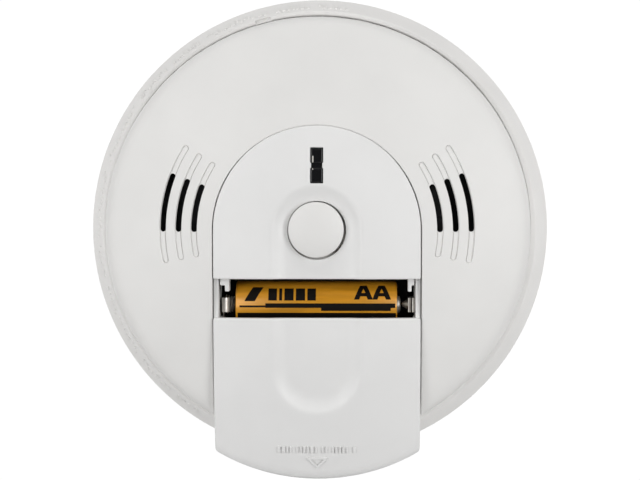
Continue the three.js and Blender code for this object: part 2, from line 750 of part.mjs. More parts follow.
function mainsInlet() {
  const [x, y] = [11, 7];
  const top = BOARD_Z - GAP;
  const shell = block([-x, x], [INLET_Y - y, INLET_Y + y], [INLET_BACK_Z, top]);
  const ys = [INLET_Y - y + 1.5, INLET_Y + y - 1.5];
  const cavity = block([1.5 - x, x - 1.5], ys, [INLET_BACK_Z - 1, top - 1.6]);
  const holes = INLET_PIN_X.map((px) => rod([px, INLET_Y], 1.2, 5, 15, 10));
  return cut(shell, [cavity, ...holes]);
}

const inletPin = (x) => rod([x, INLET_Y], 0.9, INLET_BACK_Z + 1, BOARD_Z - GAP, 10);

// ---------------------------------------------------------------- screws

// A pan-head screw; the flat side of its head is at z = 0.
function screw(headR, headH, shankR, length) {
  return turned([
    [0, -length],
    [shankR, 0.8 - length],
    [shankR, 0],
    [headR, 0],
    [headR, headH * 0.5],
    [0, headH],
  ], 10);
}

function coverScrew(angle) {
  const [x, y] = polar(POST_R, angle);
  return screw(2.8, 1.5, 1.3, 8.5).rotate([180, 0, 0]).translate([x, y, SCREW_HEAD_Z]);
}

function boardScrew(angle) {
  return screw(2.6, 1.6, 1.25, 5).translate([...polar(BOSS_R, angle), PARTS_Z]);
}

// ---------------------------------------------------------------- assembly

const wallFrame = new THREE.Group();
wallFrame.rotation.x = Math.PI / 2;

const alarm = new THREE.Group();
wallFrame.add(alarm);

const door = new THREE.Group();
door.position.y = -DOOR_OPEN;
alarm.add(door);

function place(parent, name, shape, material) {
  const mesh = new THREE.Mesh(geometryOf(shape), material);
  mesh.name = name;
  parent.add(mesh);
}

place(wallFrame, 'mounting_bracket', mountingBracket(), RING_WHITE);
place(alarm, 'back_housing', backHousing(), WHITE);
place(alarm, 'front_cover', frontCover(), WHITE);
place(alarm, 'front_panel', frontPanel(), PANEL_WHITE);
place(door, 'battery_door', batteryDoor(), PANEL_WHITE);

place(alarm, 'test_button', testButton(), PANEL_WHITE);
place(alarm, 'switch_body', switchBody(), BLACK);
place(alarm, 'switch_plunger', switchPlunger(), BLACK);
place(alarm, 'indicator_lens', indicatorLens(), SMOKED);
place(alarm, 'led_holder', ledHolder(), BLACK);
place(alarm, 'led_power', indicatorLed(LED_Y[0]), CLEAR_GREEN);
place(alarm, 'led_alarm', indicatorLed(LED_Y[1]), CLEAR_RED);

place(alarm, 'battery_tray', batteryTray(), BLACK);
place(alarm, 'battery_upper', cell(CELL_Y[0]), GOLD_LABEL);
place(alarm, 'battery_lower', lowerCell(), GOLD_LABEL);
place(alarm, 'contact_bridge', bridgeContact(), STEEL);
place(alarm, 'contact_positive', leafContact(CELL_Y[0]), STEEL);
place(alarm, 'contact_negative', negativeContact(), STEEL);
place(alarm, 'contact_spring_upper', contactSpring(CELL_Y[0], -1), STEEL);
place(alarm, 'contact_spring_lower', contactSpring(CELL_Y[1], 1), STEEL);

place(alarm, 'circuit_board', circuitBoard(), BOARD_GREEN);
place(alarm, 'smoke_chamber_base', smokeChamberBase(), BLACK);
place(alarm, 'smoke_chamber_cap', smokeChamberCap(), BLACK);
place(alarm, 'insect_screen', insectScreen(), MESH_GREY);
place(alarm, 'infrared_emitter', opticalDevice(20), PALE_BLUE);
place(alarm, 'photodiode', opticalDevice(150), SMOKED);
place(alarm, 'horn_case', hornCase(), BLACK);
place(alarm, 'piezo_disc', piezoDisc(), BRASS);
place(alarm, 'speaker_frame', speakerFrame(), STEEL);
place(alarm, 'speaker_cone', speakerCone(), CONE_BLACK);
place(alarm, 'co_sensor', coSensor(), CERAMIC);
place(alarm, 'microcontroller', microcontroller(), BLACK);
place(alarm, 'film_capacitor', filmCapacitor(), FILM_YELLOW);
place(alarm, 'electrolytic_capacitor_1', electrolyticCapacitor(-14.5), SLEEVE_BLUE);
place(alarm, 'electrolytic_capacitor_2', electrolyticCapacitor(14.5), SLEEVE_BLUE);
place(alarm, 'varistor', varistor(), DISC_BLUE);
place(alarm, 'horn_coil', hornCoil(), BLACK);

place(alarm, 'mains_inlet', mainsInlet(), WHITE);
INLET_PIN_X.forEach((x, i) => place(alarm, `mains_pin_${i + 1}`, inletPin(x), BRASS));
POST_ANGLES.forEach((a, i) => place(alarm, `cover_screw_${i + 1}`, coverScrew(a), STEEL));
BOSS_ANGLES.forEach((a, i) => place(alarm, `board_screw_${i + 1}`, boardScrew(a), STEEL));

export default wallFrame;
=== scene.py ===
"""Looks for the hard-wired smoke and carbon monoxide alarm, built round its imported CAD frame.

Shapes are worked out in the wall frame, in millimetres: x to the right, y up, z out of the
wall into the room. to_row() turns that into the frame's metres, where the front faces -Y.
"""

import json
import math
import random

import bmesh
import bpy
import numpy as np
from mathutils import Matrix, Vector
from mathutils.geometry import delaunay_2d_cdt


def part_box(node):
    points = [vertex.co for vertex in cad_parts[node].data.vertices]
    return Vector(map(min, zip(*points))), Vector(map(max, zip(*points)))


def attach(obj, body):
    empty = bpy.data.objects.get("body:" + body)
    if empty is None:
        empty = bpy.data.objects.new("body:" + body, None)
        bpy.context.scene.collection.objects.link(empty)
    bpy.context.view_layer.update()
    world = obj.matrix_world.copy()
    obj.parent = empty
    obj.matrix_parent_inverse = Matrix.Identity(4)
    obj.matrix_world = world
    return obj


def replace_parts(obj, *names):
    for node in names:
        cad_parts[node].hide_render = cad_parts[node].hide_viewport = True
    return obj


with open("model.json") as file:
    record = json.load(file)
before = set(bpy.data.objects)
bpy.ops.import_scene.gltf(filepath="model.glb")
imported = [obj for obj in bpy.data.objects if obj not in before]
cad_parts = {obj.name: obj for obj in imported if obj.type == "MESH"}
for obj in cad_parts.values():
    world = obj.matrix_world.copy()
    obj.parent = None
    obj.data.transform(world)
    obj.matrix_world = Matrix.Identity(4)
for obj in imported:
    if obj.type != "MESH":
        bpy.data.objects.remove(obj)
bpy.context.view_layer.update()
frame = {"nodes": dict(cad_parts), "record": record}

MM = 0.001


def to_row(points):
    """Wall frame millimetres to row frame metres, one row of three numbers per point."""
    points = np.atleast_2d(np.asarray(points, dtype=float))
    return np.column_stack([points[:, 0], -points[:, 2], points[:, 1]]) * MM


def wall_box(node):
    """A CAD node's lowest and highest corners in the wall frame, in millimetres."""
    low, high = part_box(node)
    lower = np.array([low[0], low[2], -high[1]]) / MM
    upper = np.array([high[0], high[2], -low[1]]) / MM
    return lower, upper


# ---- sizes from the frame

BODY_R = wall_box("front_cover")[1][0]
SKIRT_Z = wall_box("front_cover")[0][2]
RING_R = wall_box("mounting_bracket")[1][0]
LIP_Z = wall_box("mounting_bracket")[1][2]
PANEL_TOP_Y = wall_box("front_panel")[1][1]
RUNNER_BOTTOM_Z = wall_box("battery_door")[0][2]
BUTTON_TOP_Z = wall_box("test_button")[1][2]

WALL = 2.0
DOME_Z = 42.3
DOME_RADIUS = 200.0
EDGE_R = 61.6
EDGE_Z = 28.3
OPENING_X = 31.75
INSERT_X = PANEL_TOP_Y
SIDE_T = 1.5
PANEL_BOTTOM_Y = -14.75
DOOR_SHUT_TOP_Y = -15.05
DOOR_END_R = 60.0
DOOR_END_Y = -5.3
RAIL_REACH = 12.7
RAIL_END_Y = DOOR_SHUT_TOP_Y + RAIL_REACH
RAIL_TOP_Z = 36.9
DOOR_SHIFT = wall_box("battery_door")[1][1] - RAIL_END_Y
LEDGE_Z = 26.7
LEDGE_X = 29.7
GUIDE_Z = 29.3
CHANNEL_X = 33.7
SCOOP_R = 13.1
SCOOP_DEPTH = 2.1
SCOOP_WALL = 1.0
SCOOP_SLOPE = 5.6
SCOOP_END_Y = -30.6
BUTTON_HOLE_R = 8.85
BUTTON_R = 8.45
WINDOW_HALF = (1.95, 5.4)
WINDOW_Y = 19.55
SLOT_RADII = (37.3, 42.1, 46.9)
SLOT_HALF = 0.97
SLOT_START = 0.6
SLOT_ANGLE = 20.3
POCKET_ANGLES = (-11.2, 31.9)
POCKET_HALF = 0.9
POCKET_DEPTH = 0.28
POCKET_GROOVE = 0.22
VENTS = 16
VENT_ANGLE = 12.0
VENT_Z = 18.3
VENT_H = 3.6
POST_R = 57
POST_SPOTS = [(POST_R * math.cos(a), POST_R * math.sin(a)) for a in np.radians([45, 135, 225, 315])]
HOOK_ANGLES = (30, 150, 270)

# ---- materials


class Nodes:
    """A small helper that adds and links shader nodes in one material."""

    def __init__(self, name, color, roughness):
        self.material = bpy.data.materials.new(name)
        self.material.use_nodes = True
        self.tree = self.material.node_tree
        self.shader = self.tree.nodes["Principled BSDF"]
        self.set(self.shader, "Base Color", (*color, 1))
        self.set(self.shader, "Roughness", roughness)
        self.coordinates = self.tree.nodes.new("ShaderNodeTexCoord").outputs["Object"]

    def set(self, node, socket, value):
        node.inputs[socket].default_value = value

    def link(self, source, node, socket):
        self.tree.links.new(source, node.inputs[socket])

    def noise(self, scale, detail=3.0, roughness=0.5, stretch=(1, 1, 1)):
        """Noise over the piece, with scale in bumps per millimetre."""
        mapping = self.tree.nodes.new("ShaderNodeMapping")
        self.set(mapping, "Scale", tuple(s / MM for s in stretch))
        self.link(self.coordinates, mapping, "Vector")
        texture = self.tree.nodes.new("ShaderNodeTexNoise")
        self.set(texture, "Scale", scale)
        self.set(texture, "Detail", detail)
        self.set(texture, "Roughness", roughness)
        self.link(mapping.outputs["Vector"], texture, "Vector")
        return texture.outputs["Fac"]

    def ramp(self, source, stops):
        """A colour ramp through stops of (place, colour)."""
        ramp = self.tree.nodes.new("ShaderNodeValToRGB")
        elements = ramp.color_ramp.elements
        while len(elements) < len(stops):
            elements.new(0.5)
        for element, (place, color) in zip(elements, stops):
            element.position = place
            element.color = (*color, 1)
        self.link(source, ramp, "Fac")
        return ramp.outputs["Color"]

    def spread(self, source, low, high, start=0.3, end=0.7):
        """Maps a texture's usual range onto low to high."""
        spread = self.tree.nodes.new("ShaderNodeMapRange")
        self.set(spread, "From Min", start)
        self.set(spread, "From Max", end)
        self.set(spread, "To Min", low)
        self.set(spread, "To Max", high)
        self.link(source, spread, "Value")
        return spread.outputs["Result"]

    def bump(self, source, height_mm, strength=1.0, under=None):
        bump = self.tree.nodes.new("ShaderNodeBump")
        self.set(bump, "Distance", height_mm * MM)
        self.set(bump, "Strength", strength)
        self.link(source, bump, "Height")
        if under is not None:
            self.link(under, bump, "Normal")
        return bump.outputs["Normal"]


def scaled(color, factor):
    return tuple(min(1.0, c * factor) for c in color)


def moulded_plastic(name, color, roughness, grain=0.012, mottle=0.02):
    """Spark-textured ABS: a fine grain, a faint flow mottle and uneven gloss."""
    nodes = Nodes(name, color, roughness)
    flow = nodes.noise(0.05, 4.0)
    tones = [(0.3, scaled(color, 1 - mottle)), (0.7, scaled(color, 1 + mottle))]
    nodes.link(nodes.ramp(flow, tones), nodes.shader, "Base Color")
    gloss = nodes.noise(0.9, 2.0)
    nodes.link(nodes.spread(gloss, roughness - 0.05, roughness + 0.06), nodes.shader, "Roughness")
    ripple = nodes.bump(nodes.noise(0.12, 1.0), 0.05, 0.25)
    texture = nodes.bump(nodes.noise(3.2, 3.0, 0.6), grain, 0.6, ripple)
    nodes.link(texture, nodes.shader, "Normal")
    nodes.set(nodes.shader, "Specular IOR Level", 0.4)
    return nodes.material


def metal(name, color, roughness, brushed=(1, 1, 1), metallic=1.0):
    """Plated metal with a drawn grain along the axis that has the smallest stretch."""
    nodes = Nodes(name, color, roughness)
    nodes.set(nodes.shader, "Metallic", metallic)
    grain = nodes.noise(2.2, 4.0, 0.6, brushed)
    nodes.link(nodes.spread(grain, roughness * 0.7, roughness * 1.4), nodes.shader, "Roughness")
    tones = [(0.3, scaled(color, 0.86)), (0.75, scaled(color, 1.08))]
    nodes.link(nodes.ramp(nodes.noise(0.35, 3.0), tones), nodes.shader, "Base Color")
    nodes.link(nodes.bump(grain, 0.006, 0.5), nodes.shader, "Normal")
    return nodes.material


def coated(
    name, color, roughness, coat, metallic=0.0, grain=0.004, mottle=0.05, shine=0.5, stretch=(1, 1, 1)
):
    """A printed or dipped surface under a clear gloss."""
    nodes = Nodes(name, color, roughness)
    tones = [(0.3, scaled(color, 1 - mottle)), (0.7, scaled(color, 1 + mottle))]
    nodes.link(nodes.ramp(nodes.noise(0.4, 3.0, 0.5, stretch), tones), nodes.shader, "Base Color")
    nodes.set(nodes.shader, "Specular IOR Level", shine)
    nodes.set(nodes.shader, "Coat Weight", coat)
    nodes.set(nodes.shader, "Coat Roughness", 0.08)
    nodes.set(nodes.shader, "Metallic", metallic)
    gloss = nodes.noise(1.3, 2.0)
    nodes.link(nodes.spread(gloss, roughness - 0.04, roughness + 0.05), nodes.shader, "Roughness")
    nodes.link(nodes.bump(nodes.noise(1.8, 2.0), grain, 0.5), nodes.shader, "Normal")
    return nodes.material


MATERIALS = {
    "white_shell": moulded_plastic("cover_abs", (0.745, 0.738, 0.723), 0.52),
    "ring_white": moulded_plastic("ring_abs", (0.785, 0.775, 0.76), 0.58, 0.014),
    "panel_white": moulded_plastic("panel_abs", (0.765, 0.762, 0.755), 0.45, 0.007),
    "smoked_window": coated("smoked_lens", (0.008, 0.008, 0.009), 0.1, 0.15, grain=0.002),
    "black_plastic": moulded_plastic("black_abs", (0.018, 0.018, 0.02), 0.5, 0.01, 0.15),
    # The label's strong mottle, stretched into streaks along the cell's axis, is a painted
    # reflection: lighter and darker bands such as a glossy cylinder shows.
    "cell_label": coated(
        "gold_label", (0.66, 0.29, 0.014), 0.34, 0.08,
        metallic=0.12, grain=0.002, mottle=0.2, stretch=(0.12, 1, 1),
    ),
    "spring_steel": metal("nickel_plate", (0.72, 0.69, 0.64), 0.36, (0.3, 0.03, 0.3), 0.7),
    "brass": metal("brass_plate", (0.66, 0.5, 0.22), 0.28, (1, 1, 0.08)),
    "ceramic_white": moulded_plastic("sensor_can", (0.8, 0.78, 0.72), 0.5),
    "board_green": coated("solder_mask", (0.03, 0.14, 0.06), 0.35, 0.5, mottle=0.12),
    "screen_metal": metal("screen_wire", (0.3, 0.31, 0.33), 0.4),
    "led_green": coated("green_epoxy", (0.08, 0.42, 0.12), 0.2, 1.0),
    "led_red": coated("red_epoxy", (0.45, 0.03, 0.02), 0.2, 1.0),
    "emitter_blue": coated("blue_epoxy", (0.35, 0.44, 0.6), 0.2, 1.0),
    "film_yellow": coated("yellow_resin", (0.55, 0.37, 0.06), 0.4, 0.3),
    "sleeve_blue": coated("blue_sleeve", (0.02, 0.03, 0.09), 0.35, 0.5),
    "disc_blue": coated("blue_resin", (0.03, 0.12, 0.34), 0.45, 0.2),
    "cone_black": moulded_plastic("cone_paper", (0.02, 0.02, 0.025), 0.8, 0.03, 0.2),
}
LABEL_BLACK = coated("label_black", (0.006, 0.005, 0.004), 0.5, 0.0, grain=0.001, shine=0.12)

# ---- plan outlines


def arc(center, radius, start, end, step=0.8):
    """Points along an arc between two angles in degrees, both ends included."""
    count = max(4, math.ceil(abs(math.radians(end - start)) * radius / step))
    angles = np.radians(np.linspace(start, end, count + 1))
    return np.column_stack(
        [center[0] + radius * np.cos(angles), center[1] + radius * np.sin(angles)]
    )


def closed(runs, step=1.6):
    """Joins runs of points into one closed loop, with long straights divided."""
    points = np.vstack(runs)
    loop = []
    for a, b in zip(points, np.roll(points, -1, axis=0)):
        length = np.linalg.norm(b - a)
        if length > 1e-6:
            count = max(1, math.ceil(length / step))
            loop.extend(a + (b - a) * i / count for i in range(count))
    return np.array(loop)


def circle(center, radius, step=0.8):
    return closed([arc(center, radius, 0, 360, step)])


def corner(before, at, after, radius, steps=5):
    """The round that replaces a polygon's corner."""
    before, at, after = (np.array(p, dtype=float) for p in (before, at, after))
    into = (before - at) / np.linalg.norm(before - at)
    out = (after - at) / np.linalg.norm(after - at)
    half = math.acos(np.clip(into @ out, -1, 1)) / 2
    reach = radius / math.tan(half)
    center = at + (into + out) / np.linalg.norm(into + out) * radius / math.sin(half)
    start, end = at + into * reach - center, at + out * reach - center
    first = math.atan2(start[1], start[0])
    turn = (math.atan2(end[1], end[0]) - first + math.pi) % (2 * math.pi) - math.pi
    angles = first + turn * np.linspace(0, 1, steps + 1)
    return center + radius * np.column_stack([np.cos(angles), np.sin(angles)])


def rounded(corners, radius, step=1.6):
    """A polygon with every corner rounded, anticlockwise."""
    count = len(corners)
    runs = [
        corner(corners[i - 1], corners[i], corners[(i + 1) % count], radius) for i in range(count)
    ]
    return closed(runs, step)


def rounded_box(center, half, radius, step=1.6):
    (cx, cy), (hx, hy) = center, half
    signs = [(1, -1), (1, 1), (-1, 1), (-1, -1)]
    return rounded([(cx + sx * hx, cy + sy * hy) for sx, sy in signs], radius, step)


def arc_slot(radius, half, start, end, step=0.5):
    """A slot of the given half width along an arc about the origin."""
    first, last = math.radians(start), math.radians(end)
    ends = [(radius * math.cos(a), radius * math.sin(a)) for a in (first, last)]
    return closed([
        arc((0, 0), radius + half, start, end, step),
        arc(ends[1], half, end, end + 180, 0.3),
        arc((0, 0), radius - half, end, start, step),
        arc(ends[0], half, start + 180, start + 360, 0.3),
    ])


def mirrored(loop):
    return (loop * (-1, 1))[::-1]


def offset(loop, distance):
    """The loop moved outwards by a distance; a negative one moves it inwards."""
    along = np.roll(loop, -1, axis=0) - loop
    along /= np.linalg.norm(along, axis=1)[:, None]
    out = np.column_stack([along[:, 1], -along[:, 0]])
    both = out + np.roll(out, 1, axis=0)
    both /= np.linalg.norm(both, axis=1)[:, None]
    lean = np.clip((both * out).sum(1), 0.5, 1)
    return loop + both * (distance / lean)[:, None]


def signed_distance(points, loop):
    """Distance of each point to a closed loop, negative inside it."""
    points = np.asarray(points, dtype=float)
    nearest = np.full(len(points), np.inf)
    inside = np.zeros(len(points), dtype=bool)
    for a, b in zip(loop, np.roll(loop, -1, axis=0)):
        edge = b - a
        along = np.clip(((points - a) @ edge) / (edge @ edge), 0, 1)
        gap = points - a - along[:, None] * edge
        nearest = np.minimum(nearest, (gap**2).sum(1))
        if a[1] != b[1]:
            crosses = (a[1] > points[:, 1]) != (b[1] > points[:, 1])
            at = a[0] + (points[:, 1] - a[1]) * edge[0] / edge[1]
            inside ^= crosses & (points[:, 0] < at)
    return np.where(inside, -1, 1) * np.sqrt(nearest)


def nearest(points, loops):
    """Signed distance of each point to whichever loop is nearest."""
    return np.min([signed_distance(points, loop) for loop in loops], axis=0)


def between(outline, holes=()):
    """A test for triangle centres that lie inside an outline and outside its holes."""

    def keep(centers):
        inside = signed_distance(centers, outline) < 0
        for hole in holes:
            inside &= signed_distance(centers, hole) > 0
        return inside

    return keep


# ---- shells from outlines

EDGE_ROWS = (0.0, 0.12, 0.35, 0.65, 1.0)


def rounding(distance, radius):
    """How far an edge's round lies below the surface at a distance from that edge."""
    inward = np.clip(radius - distance, 0, radius)
    return radius - np.sqrt(radius**2 - inward**2)


def triangulate(loops, spacing, keep):
    """Triangles between closed loops, with an even grid of points where there is room."""
    everything = np.vstack(loops)
    low, high = everything.min(0), everything.max(0)
    rows = np.arange(low[1], high[1], spacing * 0.866)
    grid = []
    for index, y in enumerate(rows):
        xs = np.arange(low[0] + (index % 2) * spacing / 2, high[0], spacing)
        grid.append(np.column_stack([xs, np.full(len(xs), y)]))
    grid = np.vstack(grid)
    for start in range(0, len(everything), 400):
        chunk = everything[start : start + 400]
        gaps = ((grid[:, None, :] - chunk[None, :, :]) ** 2).sum(2).min(1)
        grid = grid[gaps > (0.45 * spacing) ** 2]
    edges, start = [], 0
    for loop in loops:
        count = len(loop)
        edges += [(start + i, start + (i + 1) % count) for i in range(count)]
        start += count
    points = [Vector(p) for p in np.vstack([everything, grid])]
    found, _, faces, *_ = delaunay_2d_cdt(points, edges, [], 0, 1e-6)
    found = np.array([tuple(p) for p in found])
    faces = np.array([tuple(f) for f in faces])
    a, b, c = (found[faces[:, k]] for k in range(3))
    area = (b - a)[:, 0] * (c - a)[:, 1] - (b - a)[:, 1] * (c - a)[:, 0]
    faces[area < 0] = faces[area < 0][:, ::-1]
    centers = (a + b + c) / 3
    return found, faces[keep(centers) & (np.abs(area) > 1e-9)]


def border_edges(faces):
    """Directed edges that only one of the faces has."""
    directed = {}
    for face in faces:
        for k in range(3):
            directed[(face[k], face[(k + 1) % 3])] = True
    return [edge for edge in directed if (edge[1], edge[0]) not in directed]


def new_object(name, points, faces, material, body, smooth_angle=38):
    """A mesh piece from wall frame points, riding on a body."""
    mesh = bpy.data.meshes.new(name)
    mesh.from_pydata([tuple(p) for p in to_row(points)], [], [tuple(map(int, f)) for f in faces])
    return finish_mesh(name, mesh, material, body, smooth_angle)


def finish_mesh(name, mesh, material, body, smooth_angle=38):
    tidy = bmesh.new()
    tidy.from_mesh(mesh)
    bmesh.ops.remove_doubles(tidy, verts=tidy.verts, dist=1e-7)
    loose = [v for v in tidy.verts if not v.link_faces]
    bmesh.ops.delete(tidy, geom=loose, context="VERTS")
    bmesh.ops.recalc_face_normals(tidy, faces=tidy.faces)
    tidy.to_mesh(mesh)
    tidy.free()
    for polygon in mesh.polygons:
        polygon.use_smooth = True
    mesh.set_sharp_from_angle(angle=math.radians(smooth_angle))
    mesh.materials.append(MATERIALS[material])
    piece = bpy.data.objects.new(name, mesh)
    bpy.context.scene.collection.objects.link(piece)
    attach(piece, body)
    return piece


def chain(levels, used, vertex, start, end):
    """The level points that a vertical edge passes from one level to another."""
    origin = levels[0][vertex]
    reach = {k: np.linalg.norm(levels[k][vertex] - origin) for k in used[vertex] | {start, end}}
    low, high = sorted((reach[start], reach[end]))
    between = [k for k in reach if low < reach[k] < high and k not in (start, end)]
    ordered = sorted(between, key=reach.get, reverse=reach[start] > reach[end])
    return [(k, vertex) for k in (start, *ordered, end)]


def layered(faces, levels, group=None):
    """Closes a triangulation into a solid.

    levels[0] holds the points of the front surface, and every later level holds an underside.
    Each face has its front at level 0 and its back at the level that group gives, or at 1.
    """
    group = np.ones(len(faces), dtype=int) if group is None else group
    used = [{0} for _ in levels[0]]
    owner, solid = {}, []
    for face, level in zip(faces, group):
        solid.append([(0, v) for v in face])
        solid.append([(level, v) for v in face[::-1]])
        for k in range(3):
            used[face[k]].add(level)
            owner[(face[k], face[(k + 1) % 3])] = level
    for (a, b), level in owner.items():
        other = owner.get((b, a), 0)
        if (b, a) not in owner or level > other:
            left = chain(levels, used, a, other, level)
            right = chain(levels, used, b, level, other)
            solid.append(left + right)
    keys = sorted({key for face in solid for key in face})
    place = {key: index for index, key in enumerate(keys)}
    points = np.array([levels[k][v] for k, v in keys])
    return points, [[place[key] for key in face] for face in solid]


def dome_z(radius):
    return DOME_Z - radius**2 / (2 * DOME_RADIUS)


def smooth_step(value):
    value = np.clip(value, 0, 1)
    return value * value * (3 - 2 * value)


# ---- the front's form


def front_table():
    """Arc length, radius and height along the front, from the centre to the skirt."""
    start, bend = np.array([EDGE_R, dome_z(EDGE_R)]), np.array([BODY_R, dome_z(EDGE_R) - 0.9])
    end = np.array([BODY_R, EDGE_Z])
    t = np.linspace(0, 1, 41)[:, None]
    curve = (1 - t) ** 2 * start + 2 * t * (1 - t) * bend + t**2 * end
    table = np.vstack([curve, [[BODY_R, SKIRT_Z]]])
    lengths = np.hypot(*np.diff(table, axis=0).T)
    arc_length = EDGE_R + np.concatenate([[0], np.cumsum(lengths)])
    dome = np.linspace(0, EDGE_R, 60)[:-1]
    radius = np.concatenate([dome, table[:, 0]])
    height = np.concatenate([dome_z(dome), table[:, 1]])
    return np.concatenate([dome, arc_length]), radius, height


ARC, ARC_R, ARC_Z = front_table()
SLOPE_R = -np.gradient(ARC_Z, ARC)
SLOPE_Z = np.gradient(ARC_R, ARC)
SKIRT_ARC = ARC[-1]


def arc_at(height):
    """Arc length at which the front has come down to a height."""
    return np.interp(-height, -ARC_Z, ARC)


def unroll(points):
    """Points and outward normals on the front for points of the unrolled plan."""
    length = np.hypot(points[:, 0], points[:, 1])
    angle = np.arctan2(points[:, 1], points[:, 0])
    radius, height = np.interp(length, ARC, ARC_R), np.interp(length, ARC, ARC_Z)
    out, up = np.interp(length, ARC, SLOPE_R), np.interp(length, ARC, SLOPE_Z)
    size = np.hypot(out, up)
    cos, sin = np.cos(angle), np.sin(angle)
    place = np.column_stack([radius * cos, radius * sin, height])
    return place, np.column_stack([out * cos, out * sin, up]) / size[:, None]


def front_z(points):
    """Height of the plain front over plan points, to just short of the side wall."""
    radius = np.minimum(np.hypot(points[:, 0], points[:, 1]), BODY_R - 0.02)
    rising = ARC_R < BODY_R - 1e-6
    return np.interp(radius, ARC_R[rising], ARC_Z[rising])


def edge_loops(outline, radius, side, support=0.35):
    """An outline with the loops beside it that carry its rounded edge."""
    steps = [side * radius * f for f in EDGE_ROWS] + [side * (radius + support)]
    return [outline] + [offset(outline, s) for s in steps[1:]]


# ---- outlines of the front


def arch(half_width, bottom_y, crown=0.0, radius=0.5):
    """An arch with rounded lower corners; crown makes its top that much wider."""
    left, right = (-half_width, bottom_y), (half_width, bottom_y)
    top = arc((0, 0), half_width, 0, 180)
    top *= 1 + crown / half_width * smooth_step((top[:, 1:] / half_width - 0.35) / 0.6)
    return closed([
        top,
        corner((-half_width, 0), left, right, radius),
        corner(left, right, (half_width, 0), radius),
    ])


def opening_outline():
    """The cover's opening for the panel and the door, in the unrolled plan."""
    lengths = np.linspace(OPENING_X, arc_at(LEDGE_Z), 46)
    radius = np.maximum(np.interp(lengths, ARC, ARC_R), OPENING_X)
    fall = np.arccos(np.clip(OPENING_X / radius, -1, 1))
    side = np.column_stack([lengths * np.cos(fall), -lengths * np.sin(fall)])
    low = math.degrees(fall[-1])
    return closed([
        arc((0, 0), OPENING_X, 0, 180),
        mirrored(side)[::-1][1:-1],
        arc((0, 0), lengths[-1], 180 + low, 360 - low, 1.4),
        side[::-1][1:-1],
    ])


def door_outline():
    """The shut door: straight sides, a straight top and an arc at its lower end."""
    x, top, middle = INSERT_X, DOOR_SHUT_TOP_Y, (0, DOOR_END_Y)
    low = DOOR_END_Y - math.sqrt(DOOR_END_R**2 - x**2)
    steep = math.degrees(math.atan2(DOOR_END_Y - low, x))
    end = arc(middle, DOOR_END_R, 180 + steep + 1.8, 360 - steep - 1.8)
    return closed([
        corner((x, low), (x, top), (-x, top), 0.7),
        corner((x, top), (-x, top), (-x, low), 0.7),
        corner((-x, 0), (-x, low), end[0], 1.9),
        end,
        corner(end[-1], (x, low), (x, 0), 1.9),
    ], 1.4)


def window_outline():
    """The indicator window with its small waist."""
    x, y = WINDOW_HALF
    waist, gap = 0.28, 0.8
    right = [(x, -y), (x, -gap), (x - waist, -gap), (x - waist, gap), (x, gap), (x, y)]
    left = [(-a, b) for a, b in reversed(right)]
    return rounded(right + left, 0.22, 1.0) + (0, WINDOW_Y)


def sounder_slots():
    right = [arc_slot(r, SLOT_HALF, SLOT_START, SLOT_ANGLE) for r in SLOT_RADII]
    return right + [mirrored(slot) for slot in right]


def sounder_pockets(half):
    right = [arc_slot(r, half, *POCKET_ANGLES) for r in SLOT_RADII]
    return right + [mirrored(slot) for slot in right]


def vent_outlines():
    middle, half = arc_at(VENT_Z), VENT_H / 2
    spread = VENT_ANGLE / 2 - math.degrees(half / middle)
    centers = [360 / VENTS * (i + 0.5) for i in range(VENTS)]
    return [arc_slot(middle, half, c - spread, c + spread, 0.9) for c in centers]


def scoop_table():
    """The scoop's depth by distance in from its edge: steep at the edge, then easing out."""
    inside = np.linspace(0, SCOOP_SLOPE, 141)
    slope = smooth_step(inside / 0.7) * (1 - inside / SCOOP_SLOPE)
    depth = np.concatenate([[0], np.cumsum(slope)[:-1]])
    return inside, depth / depth[-1] * SCOOP_DEPTH


SCOOP_IN, SCOOP_FALL = scoop_table()


def scoop_drop(points):
    """Depth of the finger scoop that runs from the button down the door."""
    along = np.clip(points[:, 1], SCOOP_END_Y, 0)
    inside = SCOOP_R + 0.7 - np.hypot(points[:, 0], points[:, 1] - along)
    return np.interp(inside, SCOOP_IN, SCOOP_FALL)


# ---- front cover

COVER_EDGE = 0.32
VENT_EDGE = 0.4
SKIRT_EDGE = 0.5
SLOT_THINNING = 1.0
POCKET_ROWS = (-0.27, -0.18, -0.1, -0.02, 0.04, 0.11, 0.5)
GUIDE_REACH = 59


def cover_drop(points, opening, slots, vents):
    """How far the cover's outer surface lies below the plain front."""
    depth = rounding(signed_distance(points, opening), COVER_EDGE)
    pocket = nearest(points, sounder_pockets(POCKET_HALF))
    floor = POCKET_DEPTH * smooth_step((0.1 - pocket) / 0.16)
    groove = POCKET_GROOVE * smooth_step(1 - np.abs(pocket + 0.1) / 0.17)
    depth = np.maximum(depth, floor + groove)
    for outlines, radius in ((slots, 0.1), (vents, VENT_EDGE)):
        depth = depth + rounding(np.maximum(nearest(points, outlines), 0), radius)
    skirt = SKIRT_ARC - np.hypot(points[:, 0], points[:, 1])
    return np.maximum(depth, rounding(np.maximum(skirt, 0), SKIRT_EDGE))


